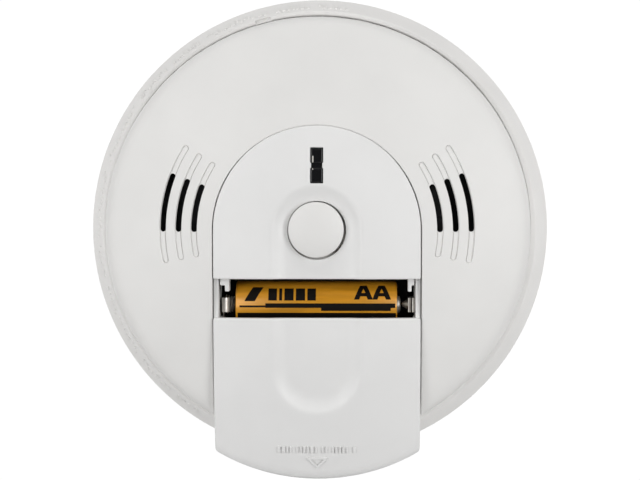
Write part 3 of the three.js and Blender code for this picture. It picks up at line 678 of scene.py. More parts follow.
def build_cover():
    opening, slots, vents = opening_outline(), sounder_slots(), vent_outlines()
    skirt = circle((0, 0), SKIRT_ARC, 1.6)
    loops = edge_loops(opening, COVER_EDGE, 1) + [offset(opening, SIDE_T)]
    loops += edge_loops(skirt, SKIRT_EDGE, -1, 0.6)
    for slot in slots:
        loops += [slot, offset(slot, 0.09)]
    for step in POCKET_ROWS:
        loops += sounder_pockets(POCKET_HALF + step)
    for vent in vents:
        loops += edge_loops(vent, VENT_EDGE, 1, 0.5)
    plan, faces = triangulate(loops, 2.4, between(skirt, [opening, *slots, *vents]))
    place, normal = unroll(plan)
    front = place - normal * cover_drop(plan, opening, slots, vents)[:, None]
    beside_slots = nearest(plan, sounder_pockets(1.1))
    thickness = WALL - SLOT_THINNING * smooth_step((1.6 - beside_slots) / 1.2)
    inner = place - normal * thickness[:, None]
    guide = np.column_stack([place[:, :2], np.full(len(plan), GUIDE_Z)])
    centers = plan[faces].mean(1)
    beside = signed_distance(centers, opening) < SIDE_T
    banded = beside & (np.hypot(centers[:, 0], centers[:, 1]) < GUIDE_REACH)
    points, solid = layered(faces, [front, inner, guide], np.where(banded, 2, 1))
    shapes = [(points, solid), *cover_channels(), *cover_posts()]
    return new_object("cover_shell", *joined(shapes), "white_shell", "alarm")


def cover_channels():
    """The ledges that carry the door's runners, with their outer walls."""
    profile = [
        (LEDGE_X, LEDGE_Z - 1.7), (CHANNEL_X + SIDE_T, LEDGE_Z - 1.7),
        (CHANNEL_X + SIDE_T, 31.8), (CHANNEL_X, 31.8), (CHANNEL_X, LEDGE_Z), (LEDGE_X, LEDGE_Z),
    ]
    right = extruded(profile, -52, PANEL_BOTTOM_Y)
    left = extruded([(-x, z) for x, z in profile], -52, PANEL_BOTTOM_Y)
    return [right, left]


def cover_posts():
    profile = [(1.7, 11), (2.8, 11), (3.0, 11.3), (3.0, 32.0), (1.7, 32.0)]
    return [revolved(profile, 32, spot) for spot in POST_SPOTS]


# ---- panel and door


def joined(shapes):
    """Several closed shapes as the points and faces of one mesh."""
    points, faces, start = [], [], 0
    for shape_points, shape_faces in shapes:
        points.append(np.asarray(shape_points, dtype=float))
        faces += [[int(i) + start for i in face] for face in shape_faces]
        start += len(shape_points)
    return np.vstack(points), faces


def extruded(profile, y0, y1):
    """A closed bar from an (x, z) profile, along y."""
    count = len(profile)
    points = [(x, y, z) for y in (y0, y1) for x, z in profile]
    faces = [list(range(count)), list(range(count, 2 * count))[::-1]]
    faces += [[i, (i + 1) % count, count + (i + 1) % count, count + i] for i in range(count)]
    return points, faces


def revolved(profile, segments, center=(0, 0)):
    """A closed (radius, z) profile turned about an axis that stands on the wall."""
    points, rings = [], []
    for radius, z in profile:
        count = 1 if radius == 0 else segments
        rings.append(range(len(points), len(points) + count))
        for k in range(count):
            angle = 2 * math.pi * k / segments
            points.append((
                center[0] + radius * math.cos(angle), center[1] + radius * math.sin(angle), z
            ))
    faces = []
    for a, b in zip(rings, [*rings[1:], rings[0]]):
        if len(a) == 1 and len(b) == 1:
            continue
        for k in range(segments):
            n = (k + 1) % segments
            if len(a) == 1:
                faces.append([a[0], b[k], b[n]])
            elif len(b) == 1:
                faces.append([a[k], b[0], a[n]])
            else:
                faces.append([a[k], b[k], b[n], a[n]])
    return points, faces


def insert_shape(outline, holes, edge, spacing, drop):
    """Plan, faces and the front surface of the panel or the door."""
    loops = edge_loops(outline, edge, -1) + [offset(outline, -SIDE_T)]
    for hole, hole_edge in holes:
        loops += edge_loops(hole, hole_edge, 1, 0.3)
    plan, faces = triangulate(loops, spacing, between(outline, [hole for hole, _ in holes]))
    depth = rounding(np.maximum(-signed_distance(plan, outline), 0), edge)
    for hole, hole_edge in holes:
        around = np.maximum(signed_distance(plan, hole), 0)
        depth = np.maximum(depth, rounding(around, hole_edge))
    dip = drop(plan)
    wall = WALL - (WALL - SCOOP_WALL) * dip / SCOOP_DEPTH
    plain = front_z(plan) - dip
    return plan, faces, plain - depth, plain - wall


def raised(plan, heights):
    return np.column_stack([plan, np.broadcast_to(heights, len(plan))])


def build_panel():
    """The fixed panel, with its rim left off where the door's rails slide under it."""
    outline = arch(INSERT_X, PANEL_BOTTOM_Y, 0.27)
    holes = [(circle((0, 0), BUTTON_HOLE_R, 0.5), 0.18), (window_outline(), 0.28)]
    plan, faces, front, under = insert_shape(outline, holes, 0.4, 0.95, scoop_drop)
    centers = plan[faces].mean(1)
    rim = signed_distance(centers, outline) > -SIDE_T
    rim &= (np.abs(centers[:, 0]) < INSERT_X - SIDE_T - 0.3) | (centers[:, 1] > RAIL_END_Y)
    levels = [raised(plan, front), raised(plan, under), raised(plan, np.minimum(under - 0.4, 35.5))]
    shell = layered(faces, levels, np.where(rim, 2, 1))
    return new_object("panel_face", *joined([shell, *panel_catches()]), "panel_white", "alarm")


def panel_catches():
    """L-shaped catches that hang into the battery bay beside the upper cell."""
    top, step, tip = PANEL_BOTTOM_Y + 0.9, PANEL_BOTTOM_Y - 2.05, PANEL_BOTTOM_Y - 3.9
    left = [
        (-26.7, tip), (-26.7, top), (-29.5, top), (-29.5, step), (-28.0, step), (-28.0, tip),
    ]
    right = [(29.5, step), (29.5, top), (27.6, top), (27.6, tip), (28.7, tip), (28.7, step)]
    return [slab(rounded(plan, 0.22, 0.8), 31.0, 36.4) for plan in (left, right)]


def slab(outline, z0, z1, edge=0.15):
    """A flat plate with a rounded front edge."""
    loops = edge_loops(outline, edge, -1, 0.1)
    plan, faces = triangulate(loops, 2.0, between(outline))
    depth = rounding(np.maximum(-signed_distance(plan, outline), 0), edge)
    return layered(faces, [raised(plan, z1 - depth), raised(plan, z0)])


def build_door():
    outline = door_outline()
    plan, faces, front, under = insert_shape(outline, [], 0.5, 0.95, scoop_drop)
    centers = plan[faces].mean(1)
    rim = signed_distance(centers, outline) > -SIDE_T
    top = centers[:, 1] > DOOR_SHUT_TOP_Y - SIDE_T
    side = rim & ~(top & (np.abs(centers[:, 0]) < INSERT_X - SIDE_T))
    lip = rim & ~side
    heights = (front, under, RUNNER_BOTTOM_Z, under - 1.0)
    levels = [raised(plan, height) for height in heights]
    shell = layered(faces, levels, np.where(side, 2, np.where(lip, 3, 1)))
    shapes = [shell, *door_runners(), *door_marks()]
    points, solid = joined(shapes)
    points = points + (0, DOOR_SHIFT, 0)
    return new_object("door_face", points, solid, "panel_white", "door")


def door_runners():
    """The runners, and the rails that carry the door's sides on under the panel."""
    top = DOOR_SHUT_TOP_Y
    runner = rounded([
        (INSERT_X - 1, -38), (33.2, -37.2), (33.2, top - 0.6), (INSERT_X - 1, top),
    ], 0.3)
    rail = rounded([
        (INSERT_X - SIDE_T, top - 1), (INSERT_X, top - 1), (INSERT_X, RAIL_END_Y - 0.4),
        (INSERT_X - 0.5, RAIL_END_Y), (INSERT_X - SIDE_T, RAIL_END_Y),
    ], 0.2)
    shapes = []
    for plan, z1 in ((runner, 29.0), (rail, RAIL_TOP_Z)):
        shapes += [slab(p, RUNNER_BOTTOM_Z, z1) for p in (plan, mirrored(plan))]
    return shapes


def embossed(outline, height, holes=()):
    """A low raised mark on the front, sunk a little into it."""
    loops = edge_loops(outline, 0.1, -1, 0.05)[:-1] + [*holes]
    plan, faces = triangulate(loops, 1.5, between(outline, holes))
    depth = rounding(np.maximum(-signed_distance(plan, outline), 0), 0.1)
    base = front_z(plan)
    return layered(faces, [raised(plan, base + height - depth), raised(plan, base - 0.4)])


def door_marks():
    """An outlined triangle that points the way the door slides, under a row of plain ribs."""
    x, top, tip = 3.5, -58.1, -61.4
    outer = rounded([(x, top), (-x, top), (0, tip)], 0.2, 0.8)
    inner = rounded([(x - 1.45, top - 0.5), (1.45 - x, top - 0.5), (0, tip + 0.8)], 0.1, 0.8)
    marks = [embossed(outer, 0.6, [inner])]
    dice = random.Random(5)
    place = -12.2
    while place < 12.2:
        width, gap = dice.choice([(0.5, 0.45), (0.5, 0.7), (0.95, 0.5), (0.5, 1.5)])
        rib = rounded_box((place + width / 2, -55.6), (width / 2, 1.0), 0.15, 0.8)
        marks.append(embossed(rib, 0.5))
        place += width + gap
    return marks


# ---- button and window


BUTTON_CENTER = (-0.24, 0.17)


def build_button():
    """The cap: a crown that falls away to a soft edge, a hidden flange and a stem."""
    soft, drop = 0.26, 1.4
    reach = BUTTON_R - soft
    radii = np.linspace(0, 1, 18) ** 0.8 * reach
    crown = [(r, BUTTON_TOP_Z - drop * (r / BUTTON_R) ** 3) for r in radii]
    edge_z = crown[-1][1]
    lean = math.atan(3 * drop / BUTTON_R * (reach / BUTTON_R) ** 2)
    turn = np.linspace(lean, math.pi / 2, 7)[1:]
    lip = []
    for a in turn:
        out, down = math.sin(a) - math.sin(lean), math.cos(lean) - math.cos(a)
        lip.append((reach + soft * out, edge_z - soft * down))
    foot = [(BUTTON_R, 38.0), (10.2, 37.6), (10.2, 36.4), (2.4, 36.4), (2.4, 19.3), (0, 19.3)]
    shape = revolved(crown + lip + foot, 112, BUTTON_CENTER)
    return new_object("button_cap", *shape, "white_shell", "button", 30)


def build_window():
    """The smoked lens with its two light pipe pads, tilted to lie along the front, and two thin white
    ribs on its left that are a painted glint.
    """
    base = offset(window_outline() - (0, WINDOW_Y), -0.1)
    shapes = [slab(base, -3.3, -0.3, 0.1)]
    for middle in (2.98, -2.98):
        pipe = rounded_box((0, middle), (WINDOW_HALF[0] - 0.25, 2.14), 0.3, 0.6)
        shapes.append(slab(pipe, -1.0, 0, 0.25))
    # Two thin white ribs on the lens's left, one above the waist and one at it, are a painted glint:
    # white plastic placed where the lens shows a reflection of the light.
    painted_glints = []
    for x, low, high in ((-1.15, 0.9, 2.9), (-1.2, -1.3, -0.9)):
        rib = rounded_box((x, (low + high) / 2), (0.13, (high - low) / 2), 0.12, 0.5)
        painted_glints.append(slab(rib, -0.5, 0.1, 0.1))
    lens = tilted_to_front(*joined(shapes))
    glint_piece = new_object("window_painted_glints", *tilted_to_front(*joined(painted_glints)), "ceramic_white", "alarm")
    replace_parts(glint_piece, "indicator_lens")
    return new_object("window_lens", *lens, "smoked_window", "alarm")


def tilted_to_front(points, faces):
    """Lays the window's flat shapes along the front at the window's height."""
    tilt = math.asin(WINDOW_Y / DOME_RADIUS)
    y = points[:, 1] * math.cos(tilt) + points[:, 2] * math.sin(tilt)
    z = -points[:, 1] * math.sin(tilt) + points[:, 2] * math.cos(tilt)
    lift = dome_z(WINDOW_Y) - 0.3
    return np.column_stack([points[:, 0], y + WINDOW_Y, z + lift]), faces


# ---- bracket


def side_faces(count, size, around=False):
    """Faces between neighbours of count sections, each a closed loop of size points."""
    faces = []
    for k in range(count if around else count - 1):
        row, following = k * size, (k + 1) % count * size
        for i in range(size):
            j = (i + 1) % size
            faces.append([row + i, following + i, following + j, row + j])
    return faces


def swept(profile, start, end, step=1.0):
    """A closed (radius, z) profile swept about the axis between two angles, capped."""
    count = max(2, math.ceil((end - start) / step))
    angles = np.radians(np.linspace(start, end, count + 1))
    size = len(profile)
    points = [(r * math.cos(a), r * math.sin(a), z) for a in angles for r, z in profile]
    caps = [list(range(size)), list(range(count * size, (count + 1) * size))[::-1]]
    return points, caps + side_faces(count + 1, size)


def soft_profile(profile, radius):
    """A closed (radius, z) profile with its corners rounded."""
    count = len(profile)
    runs = [
        corner(profile[i - 1], profile[i], profile[(i + 1) % count], radius, 3)
        for i in range(count)
    ]
    return [tuple(p) for p in np.vstack(runs)]


NOTCH_ANGLE = 105.0
NOTCH_HALF = math.degrees(2.5 / 68)
LIP_R = 67.35
LIP_EDGE_R = 68
LIP_PLAY = (-0.3, 0.3)
SLOPE_FOOT = (72.3, 3.2)
SLOPE_TOP = (69.1, LIP_Z - 0.2)


def ring_shape():
    """The trim ring's sloping lip, with the release notch cut in its inner edge."""
    profile = soft_profile([
        (71.2, 0.02), (RING_R, 0.02), (RING_R, 2.3), SLOPE_FOOT, SLOPE_TOP,
        (68.7, LIP_Z), (LIP_R + 0.3, LIP_Z), (LIP_R, LIP_Z - 0.4), (LIP_R, 0.02), (69.4, 0.02),
        (69.4, 4.9), (71.2, 2.2),
    ], 0.16)
    notched = [(r, min(z, LIP_Z - 0.6)) if r < LIP_R + 1.5 else (r, z) for r, z in profile]
    low, high = NOTCH_ANGLE - NOTCH_HALF, NOTCH_ANGLE + NOTCH_HALF
    columns = [(a, profile) for a in np.linspace(high, low + 360, 340)]
    columns += [(a, notched) for a in np.linspace(low, high, 8)]
    points = []
    for angle, section in columns:
        c, s = math.cos(math.radians(angle)), math.sin(math.radians(angle))
        play = LIP_PLAY[0] * c + LIP_PLAY[1] * s
        moved = [(r + play * (r < LIP_EDGE_R), z) for r, z in section]
        points += [(r * c, r * s, z) for r, z in moved]
    return points, side_faces(len(columns), len(profile), around=True)


def key_slot(radius, start, end):
    """An arc slot for a box screw with a round head hole at its anticlockwise end."""
    half, head = 2.2, 4.4
    turn = math.radians(end)
    center = np.array([radius * math.cos(turn), radius * math.sin(turn)])
    loop = arc_slot(radius, half, start, end, 0.9)
    outside = signed_distance(loop, circle(center, head)) > 0.05
    first = int(np.argmax(outside & ~np.roll(outside, 1)))
    kept = np.roll(loop, -first, axis=0)
    kept = kept[: int(np.argmin(np.append(np.roll(outside, -first), False)))]
    a0 = math.degrees(math.atan2(*(kept[-1] - center)[::-1]))
    a1 = math.degrees(math.atan2(*(kept[0] - center)[::-1]))
    while a1 < a0:
        a1 += 360
    return closed([kept, arc(center, head, a0 + 4, a1 - 4)])


def build_bracket():
    slots = [
        key_slot(41.7, -15, 15), key_slot(41.7, 165, 195),
        key_slot(44.5, 75, 105), key_slot(44.5, 255, 285),
    ]
    outer, bore, edge = circle((0, 0), LIP_R + 0.3, 1.4), circle((0, 0), 34, 1.0), 0.3
    holes = [bore, *slots]
    loops = [outer]
    for hole in holes:
        loops += edge_loops(hole, edge, 1)
    plan, faces = triangulate(loops, 3.2, between(outer, holes))
    depth = rounding(np.maximum(nearest(plan, holes), 0), edge)
    plate = layered(faces, [raised(plan, 2.2 - depth), raised(plan, depth)])
    shapes = [plate, ring_shape()]
    stop = soft_profile([(58.3, 1.8), (62.6, 1.8), (62.6, 6.3), (58.3, 6.3)], 0.2)
    roof = soft_profile([
        (58.3, 4.7), (61, 4.7), (61, 1.8), (62.6, 1.8), (62.6, 6.3), (58.3, 6.3),
    ], 0.2)
    for angle in HOOK_ANGLES:
        shapes += [swept(roof, angle - 6, angle + 6), swept(stop, angle - 8.5, angle - 5.9)]
    shapes += bracket_ribs() + ring_ribs()
    return new_object("bracket_body", *joined(shapes), "ring_white", "bracket")


def ring_ribs():
    """Groups of low grip ribs across the left of the ring's slope, all plain."""
    foot, top = np.array(SLOPE_FOOT), np.array(SLOPE_TOP)
    along = top - foot
    out = np.array([along[1], -along[0]]) / np.linalg.norm(along)
    dice = random.Random(11)
    ribs, angle, left = [], 82.0, 6
    while angle < 236:
        low, high = dice.choice([(0.26, 0.74), (0.26, 0.74), (0.26, 0.5), (0.5, 0.74)])
        width = dice.choice([0.42, 0.5, 0.9])
        corners = [
            foot + along * low - out * 0.25, foot + along * low + out * 0.08,
            foot + along * (low + 0.04) + out * 0.3, foot + along * (high - 0.04) + out * 0.3,
            foot + along * high + out * 0.08, foot + along * high - out * 0.25,
        ]
        ribs.append(swept([tuple(c) for c in corners], angle, angle + width, 0.4))
        angle += width + dice.choice([0.55, 0.7, 0.9])
        left -= 1
        if left == 0:
            angle += 1.9
            left = dice.choice([7, 9, 12, 14])
    return ribs


def bracket_ribs():
    """Low concentric ribs that stiffen the flange, broken at the screw slots."""
    section = soft_profile([(52.2, 2.0), (53.4, 2.0), (53.3, 2.75), (52.3, 2.75)], 0.15)
    return [swept(section, a + 12, a + 78) for a in (0, 90, 180, 270)]


# ---- back housing

INLET_Y = 20.0


def build_housing():
    """The housing's floor, seen from behind through the bracket's bore."""
    inlet = rounded_box((0, INLET_Y), (11.3, 7.3), 1.2)
    holes = [circle(spot, 3.2, 0.5) for spot in POST_SPOTS]
    rim = circle((0, 0), 62.3, 1.4)
    edge = 0.25
    loops = [rim, circle((0, 0), 60, 2.0), *edge_loops(inlet, edge, 1)]
    for hole in holes:
        loops += edge_loops(hole, edge, 1, 0.2)
    panel = rounded_box((0, -6), (21, 9.5), 2.0)
    for step in (0, 0.25):
        loops.append(offset(panel, -step))
    plan, faces = triangulate(loops, 3.2, between(rim, [inlet, *holes]))
    depth = rounding(np.maximum(nearest(plan, [inlet, *holes]), 0), edge)
    recess = 0.4 * smooth_step(-signed_distance(plan, panel) / 0.25)
    floor = layered(faces, [raised(plan, 8.8), raised(plan, 7.0 + depth + recess)])
    wall = soft_profile([
        (60.5, 7.3), (65.4, 7.0), (65.4, 8.3), (62.5, 8.3), (62.5, 13), (60.5, 13),
    ], 0.2)
    shapes = [floor, revolved(wall, 256)]
    seat = [(1.7, 8.6), (3.6, 8.6), (4.1, 8.7), (4.1, 10.6), (1.7, 10.6)]
    shapes += [revolved(seat, 40, spot) for spot in POST_SPOTS]
    tab = soft_profile([(56, 7.2), (56, 2.7), (60.6, 2.7), (60.6, 4.3), (58, 4.3), (58, 7.2)], 0.2)
    shapes += [swept(tab, angle - 5.4, angle + 5.4) for angle in HOOK_ANGLES]
    vein = soft_profile([(40, 6.6), (41.2, 6.6), (41.2, 7.2), (40, 7.2)], 0.12)
    shapes += [swept(vein, a + 6, a + 54, 2.0) for a in range(0, 360, 60)]
    return new_object("housing_shell", *joined(shapes), "ring_white", "alarm")


def build_screws():
    """Pan head screws with a cross recess, seen from behind."""
    for index, spot in enumerate(POST_SPOTS, 1):
        low, high = wall_box(f"cover_screw_{index}")
        head = [
            (0, low[2] + 0.75), (0.5, low[2] + 0.75), (0.9, low[2] + 0.05), (1.9, low[2] + 0.12),
            (2.5, low[2] + 0.5), (2.65, low[2] + 1.1), (2.65, 8.85), (1.35, 8.85),
        ]
        shank = []
        for z in np.arange(9.2, high[2] - 1.2, 0.7):
            shank += [(1.15, z), (1.5, z + 0.3), (1.15, z + 0.6)]
        profile = head + shank + [(0.9, high[2] - 0.6), (0, high[2])]
        piece = new_object(
            f"cover_screw_{index}_turned", *revolved(profile, 28, spot), "spring_steel", "alarm"
        )
        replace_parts(piece, f"cover_screw_{index}")


# ---- cells and contacts

CELL_Z = 27.4
CELL_R = 7.25
CELL_Y = (-23.0, -37.9)
LABEL_R = CELL_R - 0.02


def lying(points, y, mirror=False):
    """Turns a shape built along z into one along x, at a cell's height."""
    points = np.asarray(points, dtype=float)
    x = -points[:, 2] if mirror else points[:, 2]
    return np.column_stack([x, points[:, 0] + y, points[:, 1] * (1 if mirror else -1) + CELL_Z])


def build_cell(node, y, mirror):
    low, high = wall_box(node)
    nub = 1.15
    left = -high[0] if mirror else low[0]
    right = (-low[0] if mirror else high[0]) - nub
    can = [
        (0, left + 0.25), (4.4, left + 0.25), (4.8, left + 0.02), (6.3, left + 0.02),
        (6.75, left + 0.15), (6.95, left + 0.5), (7.0, left + 1.0), (7.0, right - 1.2),
        (6.9, right - 0.6), (6.5, right - 0.25), (5.9, right - 0.1), (4.5, right - 0.1),
        (4.2, right + 0.05), (2.75, right + 0.08), (2.6, right + 0.3), (2.55, right + 0.9),
        (2.2, right + nub - 0.02), (0, right + nub),
    ]
    sleeve = [
        (6.6, left + 0.02), (7.0, left + 0.1), (LABEL_R, left + 0.5), (LABEL_R, right - 0.5),
        (7.05, right - 0.1), (6.6, right), (6.3, right - 0.3), (6.3, left + 0.3),
    ]
    for part, profile, slot in (("can", can, "spring_steel"), ("label", sleeve, "cell_label")):
        points, faces = revolved(profile, 96)
        piece = new_object(f"{node}_{part}", lying(points, y, mirror), faces, slot, "alarm")
        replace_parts(piece, node)
    build_label_print(node, y, mirror)


def letter_a(x, v, width, height):
    """The outline and the counter of a plain capital A."""
    w, h, leg = width / 2, height, 0.27 * width
    foot = w - leg
    outer = [
        (-w, 0), (-foot, 0), (-foot + 0.07 * width, 0.2 * h), (foot - 0.07 * width, 0.2 * h),
        (foot, 0), (w, 0), (leg * 0.62, h), (-leg * 0.62, h),
    ]
    inner = [(-0.11 * width, 0.42 * h), (0.11 * width, 0.42 * h), (0, 0.74 * h)]
    place = np.array([x, v])
    return closed([np.array(outer) + place], 0.4), closed([np.array(inner) + place], 0.4)


def wrapped(outline, holes, y, mirror):
    """A thin printed patch round a cell; v runs up the side that faces the room."""
    plan, faces = triangulate([outline, *holes], 0.5, between(outline, holes))
    levels = []
    for radius in (LABEL_R + 0.03, LABEL_R - 0.05):
        angle = plan[:, 1] / LABEL_R
        x = -plan[:, 0] if mirror else plan[:, 0]
        levels.append(np.column_stack(
            [x, y + radius * np.sin(angle), CELL_Z + radius * np.cos(angle)]
        ))
    return layered(faces, levels)


def strip(x0, x1, v0, v1):
    return closed([np.array([(x0, v0), (x1, v0), (x1, v1), (x0, v1)])], 0.45)


LABEL_BANDS = (
    (-24.3, 24.0, -11.5, -2.3), (-15.8, 23.8, -0.73, 0.64),
    (-23.7, -15.8, -0.6, 0.0), (1.2, 22.4, -1.67, -0.73),
)
LABEL_LETTERS_X = (14.1, 19.65)
LABEL_SLANT = ((-22.2, 1.3), (-19.0, 1.3), (-16.4, 6.1), (-19.6, 6.1))
LABEL_BARS = ((-14.9, 2.6), (-11.6, 0.9), (-10.0, 2.8), (-6.5, 2.8), (-3.0, 2.6))


def build_label_print(node, y, mirror):
    """Black bands, the cell size and plain blocks, on the side that faces the room."""
    marks = [[strip(*band)] for band in LABEL_BANDS]
    marks += [letter_a(x, 1.82, 5.7, 5.05) for x in LABEL_LETTERS_X]
    marks.append([closed([np.array(LABEL_SLANT)], 0.45)])
    marks += [[strip(x, x + width, 1.5, 5.6)] for x, width in LABEL_BARS]
    shapes = [wrapped(outline, holes, y, mirror) for outline, *holes in marks]
    piece = new_object(f"{node}_print", *joined(shapes), "black_plastic", "alarm")
    piece.data.materials[0] = LABEL_BLACK
    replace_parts(piece, node)


def tube(path, radius, sides=14):
    """A closed round wire along a list of points."""
    path = np.asarray(path, dtype=float)
    along = np.gradient(path, axis=0)
    along /= np.linalg.norm(along, axis=1)[:, None]
    points, faces = [], []
    for place, direction in zip(path, along):
        across = np.cross(direction, (1.0, 0.0, 0.0))
        across /= np.linalg.norm(across)
        up = np.cross(direction, across)
        for k in range(sides):
            a = 2 * math.pi * k / sides
            points.append(place + radius * (math.cos(a) * across + math.sin(a) * up))
    for i in range(len(path) - 1):
        for k in range(sides):
            n = (k + 1) % sides
            faces.append([i * sides + k, i * sides + n, (i + 1) * sides + n, (i + 1) * sides + k])
    faces += [list(range(sides))[::-1], list(range((len(path) - 1) * sides, len(path) * sides))]
    return points, faces


def build_springs():
    """Conical contact springs, wound in fine wire."""
    turns = 3.0
    t = np.linspace(0, 1, 141)
    angle, radius = 2 * math.pi * turns * t, 2.7 - 0.6 * t
    for node, y, side in zip(("contact_spring_upper", "contact_spring_lower"), CELL_Y, (-1, 1)):
        path = np.column_stack([
            side * (28.1 - 2.35 * t), y + radius * np.cos(angle), CELL_Z + radius * np.sin(angle)
        ])
        piece = new_object(f"{node}_wound", *tube(path, 0.3), "spring_steel", "alarm")
        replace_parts(piece, node)


def block(x, y, z, soft):
    """A bar between two (x, z) corners, rounded along its length."""
    profile = soft_profile([(x[0], z[0]), (x[1], z[0]), (x[1], z[1]), (x[0], z[1])], soft)
    return extruded(profile, *y)


def build_contacts():
    """Sprung plates that touch the cells; only their front edges show in the bay."""
    front = (-25.1, -20.8)
    tab = [
        (-29.2, 28.5), (-28.8, 28.5), (-28.8, 32.4), (-28.55, 32.75), (-28.2, 32.8),
        (-27.6, 32.45), (-27.0, 31.3), (-26.7, 31.5), (-27.2, 32.7), (-28.0, 33.2),
        (-28.8, 33.15), (-29.1, 32.8),
    ]
    dimple = [(0, -28.9), (2.2, -28.9), (2.0, -27.6), (1.3, -26.2), (0, -25.7)]
    points, faces = revolved(dimple, 40)
    bridge = [
        extruded(tab, *front), block((-29.2, -28.8), (-40.5, -20.8), (22, 29), 0.08),
        (lying(points, CELL_Y[1]), faces),
    ]
    piece = new_object("bridge_plate", *joined(bridge), "spring_steel", "alarm")
    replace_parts(piece, "contact_bridge")
    dimple = [(0, 28.0), (1.5, 28.0), (1.4, 27.3), (0.8, 26.2), (0, 25.7)]
    points, faces = revolved(dimple, 40)
    leaf = [
        block((27.8, 28.4), front, (22, 32.6), 0.08),
        block((29.0, 29.5), front, (22, 33.0), 0.08),
        block((27.8, 29.5), front, (22, 22.5), 0.08),
        block((27.75, 28.6), front, (32.3, 32.9), 0.22),
        block((28.95, 29.75), front, (32.7, 33.4), 0.22), (lying(points, CELL_Y[0]), faces),
    ]
    piece = new_object("leaf_plate", *joined(leaf), "spring_steel", "alarm")
    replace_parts(piece, "contact_positive")


def build_horn():
    """The horn's case, with black felt across its mouth; its brass disc below is not built here."""
    x, y = 38, 9
    case = soft_profile([
        (13.5, 13.9), (15, 13.9), (15, 23.4), (5, 23.4), (5, 22), (13.5, 22),
    ], 0.3)
    felt = [(0, 22.3), (5.3, 22.3), (5.3, 22.7), (0, 22.75)]
    shapes = [revolved(case, 72, (x, y)), revolved(felt, 48, (x, y))]
    piece = new_object("horn_cup", *joined(shapes), "black_plastic", "alarm")
    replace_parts(piece, "horn_case")


def softened(node, slot, body, radius):
    """A copy of a CAD node with its sharp edges rounded, standing in for the node."""
    mesh = frame["nodes"][node].data.copy()
    shape = bmesh.new()
    shape.from_mesh(mesh)
    shape.transform(frame["nodes"][node].matrix_world)
    bmesh.ops.remove_doubles(shape, verts=shape.verts, dist=1e-6)
    bmesh.ops.dissolve_limit(
        shape, angle_limit=math.radians(2), verts=shape.verts, edges=shape.edges
    )
    sharp = [e for e in shape.edges if e.is_manifold and e.calc_face_angle(0) > math.radians(35)]
    bmesh.ops.bevel(
        shape, geom=sharp, offset=radius * MM, segments=2, profile=0.5, affect="EDGES",
        clamp_overlap=True,
    )
    bmesh.ops.triangulate(shape, faces=shape.faces)
    fresh = bpy.data.meshes.new(f"{node}_soft")
    shape.to_mesh(fresh)
    shape.free()
    piece = finish_mesh(f"{node}_soft", fresh, slot, body, 40)
    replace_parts(piece, node)


def build_all():
    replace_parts(build_cover(), "front_cover")
    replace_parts(build_panel(), "front_panel")
    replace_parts(build_door(), "battery_door")
    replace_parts(build_button(), "test_button")
    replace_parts(build_window(), "indicator_lens")
    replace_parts(build_bracket(), "mounting_bracket")
    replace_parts(build_housing(), "back_housing")
    build_screws()
    build_cell("battery_upper", CELL_Y[0], False)
    build_cell("battery_lower", CELL_Y[1], True)
    build_springs()
    softened("battery_tray", "black_plastic", "alarm", 0.25)
    build_contacts()
    build_horn()
    softened("contact_negative", "spring_steel", "alarm", 0.1)
    softened("mains_inlet", "white_shell", "alarm", 0.25)


# ---- camera and light


CAMERA_PLACE = (13.0, 11.0, 603.0)
CAMERA_AIM = (0.2, -3.83, 3.0)
CAMERA_LENS = 105.1
LIGHTS = {
    "top_light": ((0, 600, 260), (500, 260), 1.52),
    "left_light": ((-400, 60, 500), (260, 420), 1.64),
    "right_light": ((400, 60, 500), (260, 420), 2.07),
    "left_rim": ((-600, 80, 130), (260, 420), 0.45),
    "left_graze": ((-620, -40, 75), (300, 300), 0.4),
    "right_graze": ((620, -40, 75), (300, 300), 0.6),
}
ROOM_FRONT = 0.02
ROOM_BELOW = 0.3
FLOOR_HALF = 0.9
FLOOR_Z = -0.45


def add_camera():
    """The camera stands a little to the right of the axis and a little above it."""
    data = bpy.data.cameras.new("camera")
    data.sensor_width = 36
    data.lens = CAMERA_LENS
    camera = bpy.data.objects.new("camera", data)
    place = Vector(to_row(CAMERA_PLACE)[0])
    aim = Vector(to_row(CAMERA_AIM)[0])
    camera.location = place
    camera.rotation_euler = (aim - place).to_track_quat("-Z", "Y").to_euler()
    bpy.context.scene.collection.objects.link(camera)
    bpy.context.scene.camera = camera


def add_softbox(name, place_mm, size_mm, watts):
    data = bpy.data.lights.new(name, "AREA")
    data.shape = "RECTANGLE"
    data.size, data.size_y = (s * MM for s in size_mm)
    data.energy = watts
    light = bpy.data.objects.new(name, data)
    light.location = Vector(to_row(place_mm)[0])
    light.rotation_euler = (-light.location).to_track_quat("-Z", "Y").to_euler()
    bpy.context.scene.collection.objects.link(light)


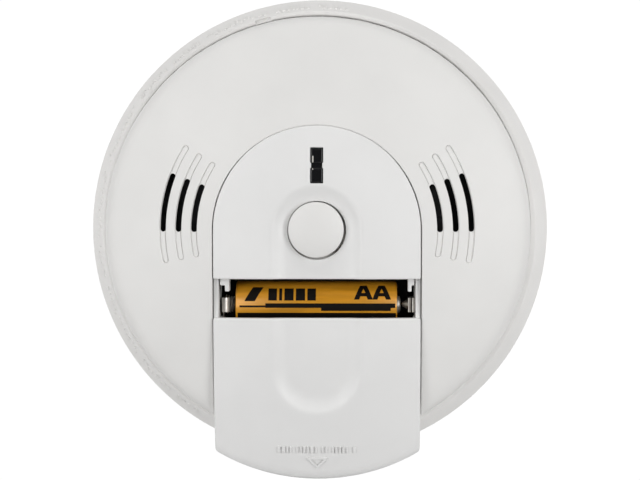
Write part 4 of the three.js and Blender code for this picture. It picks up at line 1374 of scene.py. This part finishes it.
def graded(tree, source, start, end, low, high):
    """Maps a direction's component smoothly onto a brightness."""
    spread = tree.nodes.new("ShaderNodeMapRange")
    spread.interpolation_type = "SMOOTHSTEP"
    sockets = ("From Min", "From Max", "To Min", "To Max")
    for socket, value in zip(sockets, (start, end, low, high)):
        spread.inputs[socket].default_value = value
    tree.links.new(source, spread.inputs["Value"])
    return spread.outputs["Result"]


def add_surroundings():
    """A room that is white behind the object, nearly dark on the camera's side, dim below."""
    world = bpy.data.worlds.new("room")
    bpy.context.scene.world = world
    world.use_nodes = True
    tree = world.node_tree
    direction = tree.nodes.new("ShaderNodeTexCoord")
    split = tree.nodes.new("ShaderNodeSeparateXYZ")
    tree.links.new(direction.outputs["Generated"], split.inputs["Vector"])
    depth = graded(tree, split.outputs["Y"], -0.1, 0.75, ROOM_FRONT, 1.03)
    rise = graded(tree, split.outputs["Z"], -0.9, -0.16, ROOM_BELOW, 1.0)
    both = tree.nodes.new("ShaderNodeMath")
    both.operation = "MULTIPLY"
    tree.links.new(depth, both.inputs[0])
    tree.links.new(rise, both.inputs[1])
    background = tree.nodes["Background"]
    background.inputs["Color"].default_value = (1, 1, 1, 1)
    tree.links.new(both.outputs["Value"], background.inputs["Strength"])
    bpy.context.scene.view_settings.view_transform = "Standard"


def add_floor():
    mesh = bpy.data.meshes.new("floor")
    signs = [(-1, -1), (1, -1), (1, 1), (-1, 1)]
    corners = [(x * FLOOR_HALF, y * FLOOR_HALF, FLOOR_Z) for x, y in signs]
    mesh.from_pydata(corners, [], [(0, 1, 2, 3)])
    floor = bpy.data.objects.new("floor", mesh)
    paint = Nodes("floor_paint", (0.8, 0.8, 0.8), 0.7)
    paint.link(paint.bump(paint.noise(0.5), 0.02, 0.2), paint.shader, "Normal")
    mesh.materials.append(paint.material)
    bpy.context.scene.collection.objects.link(floor)


add_camera()
add_surroundings()
for light_name, settings in LIGHTS.items():
    add_softbox(light_name, *settings)
add_floor()

for entry in frame["record"]["subparts"]:
    node = frame["nodes"][entry["node"]]
    node.data.materials.clear()
    node.data.materials.append(MATERIALS[entry["material_slot"]])
build_all()
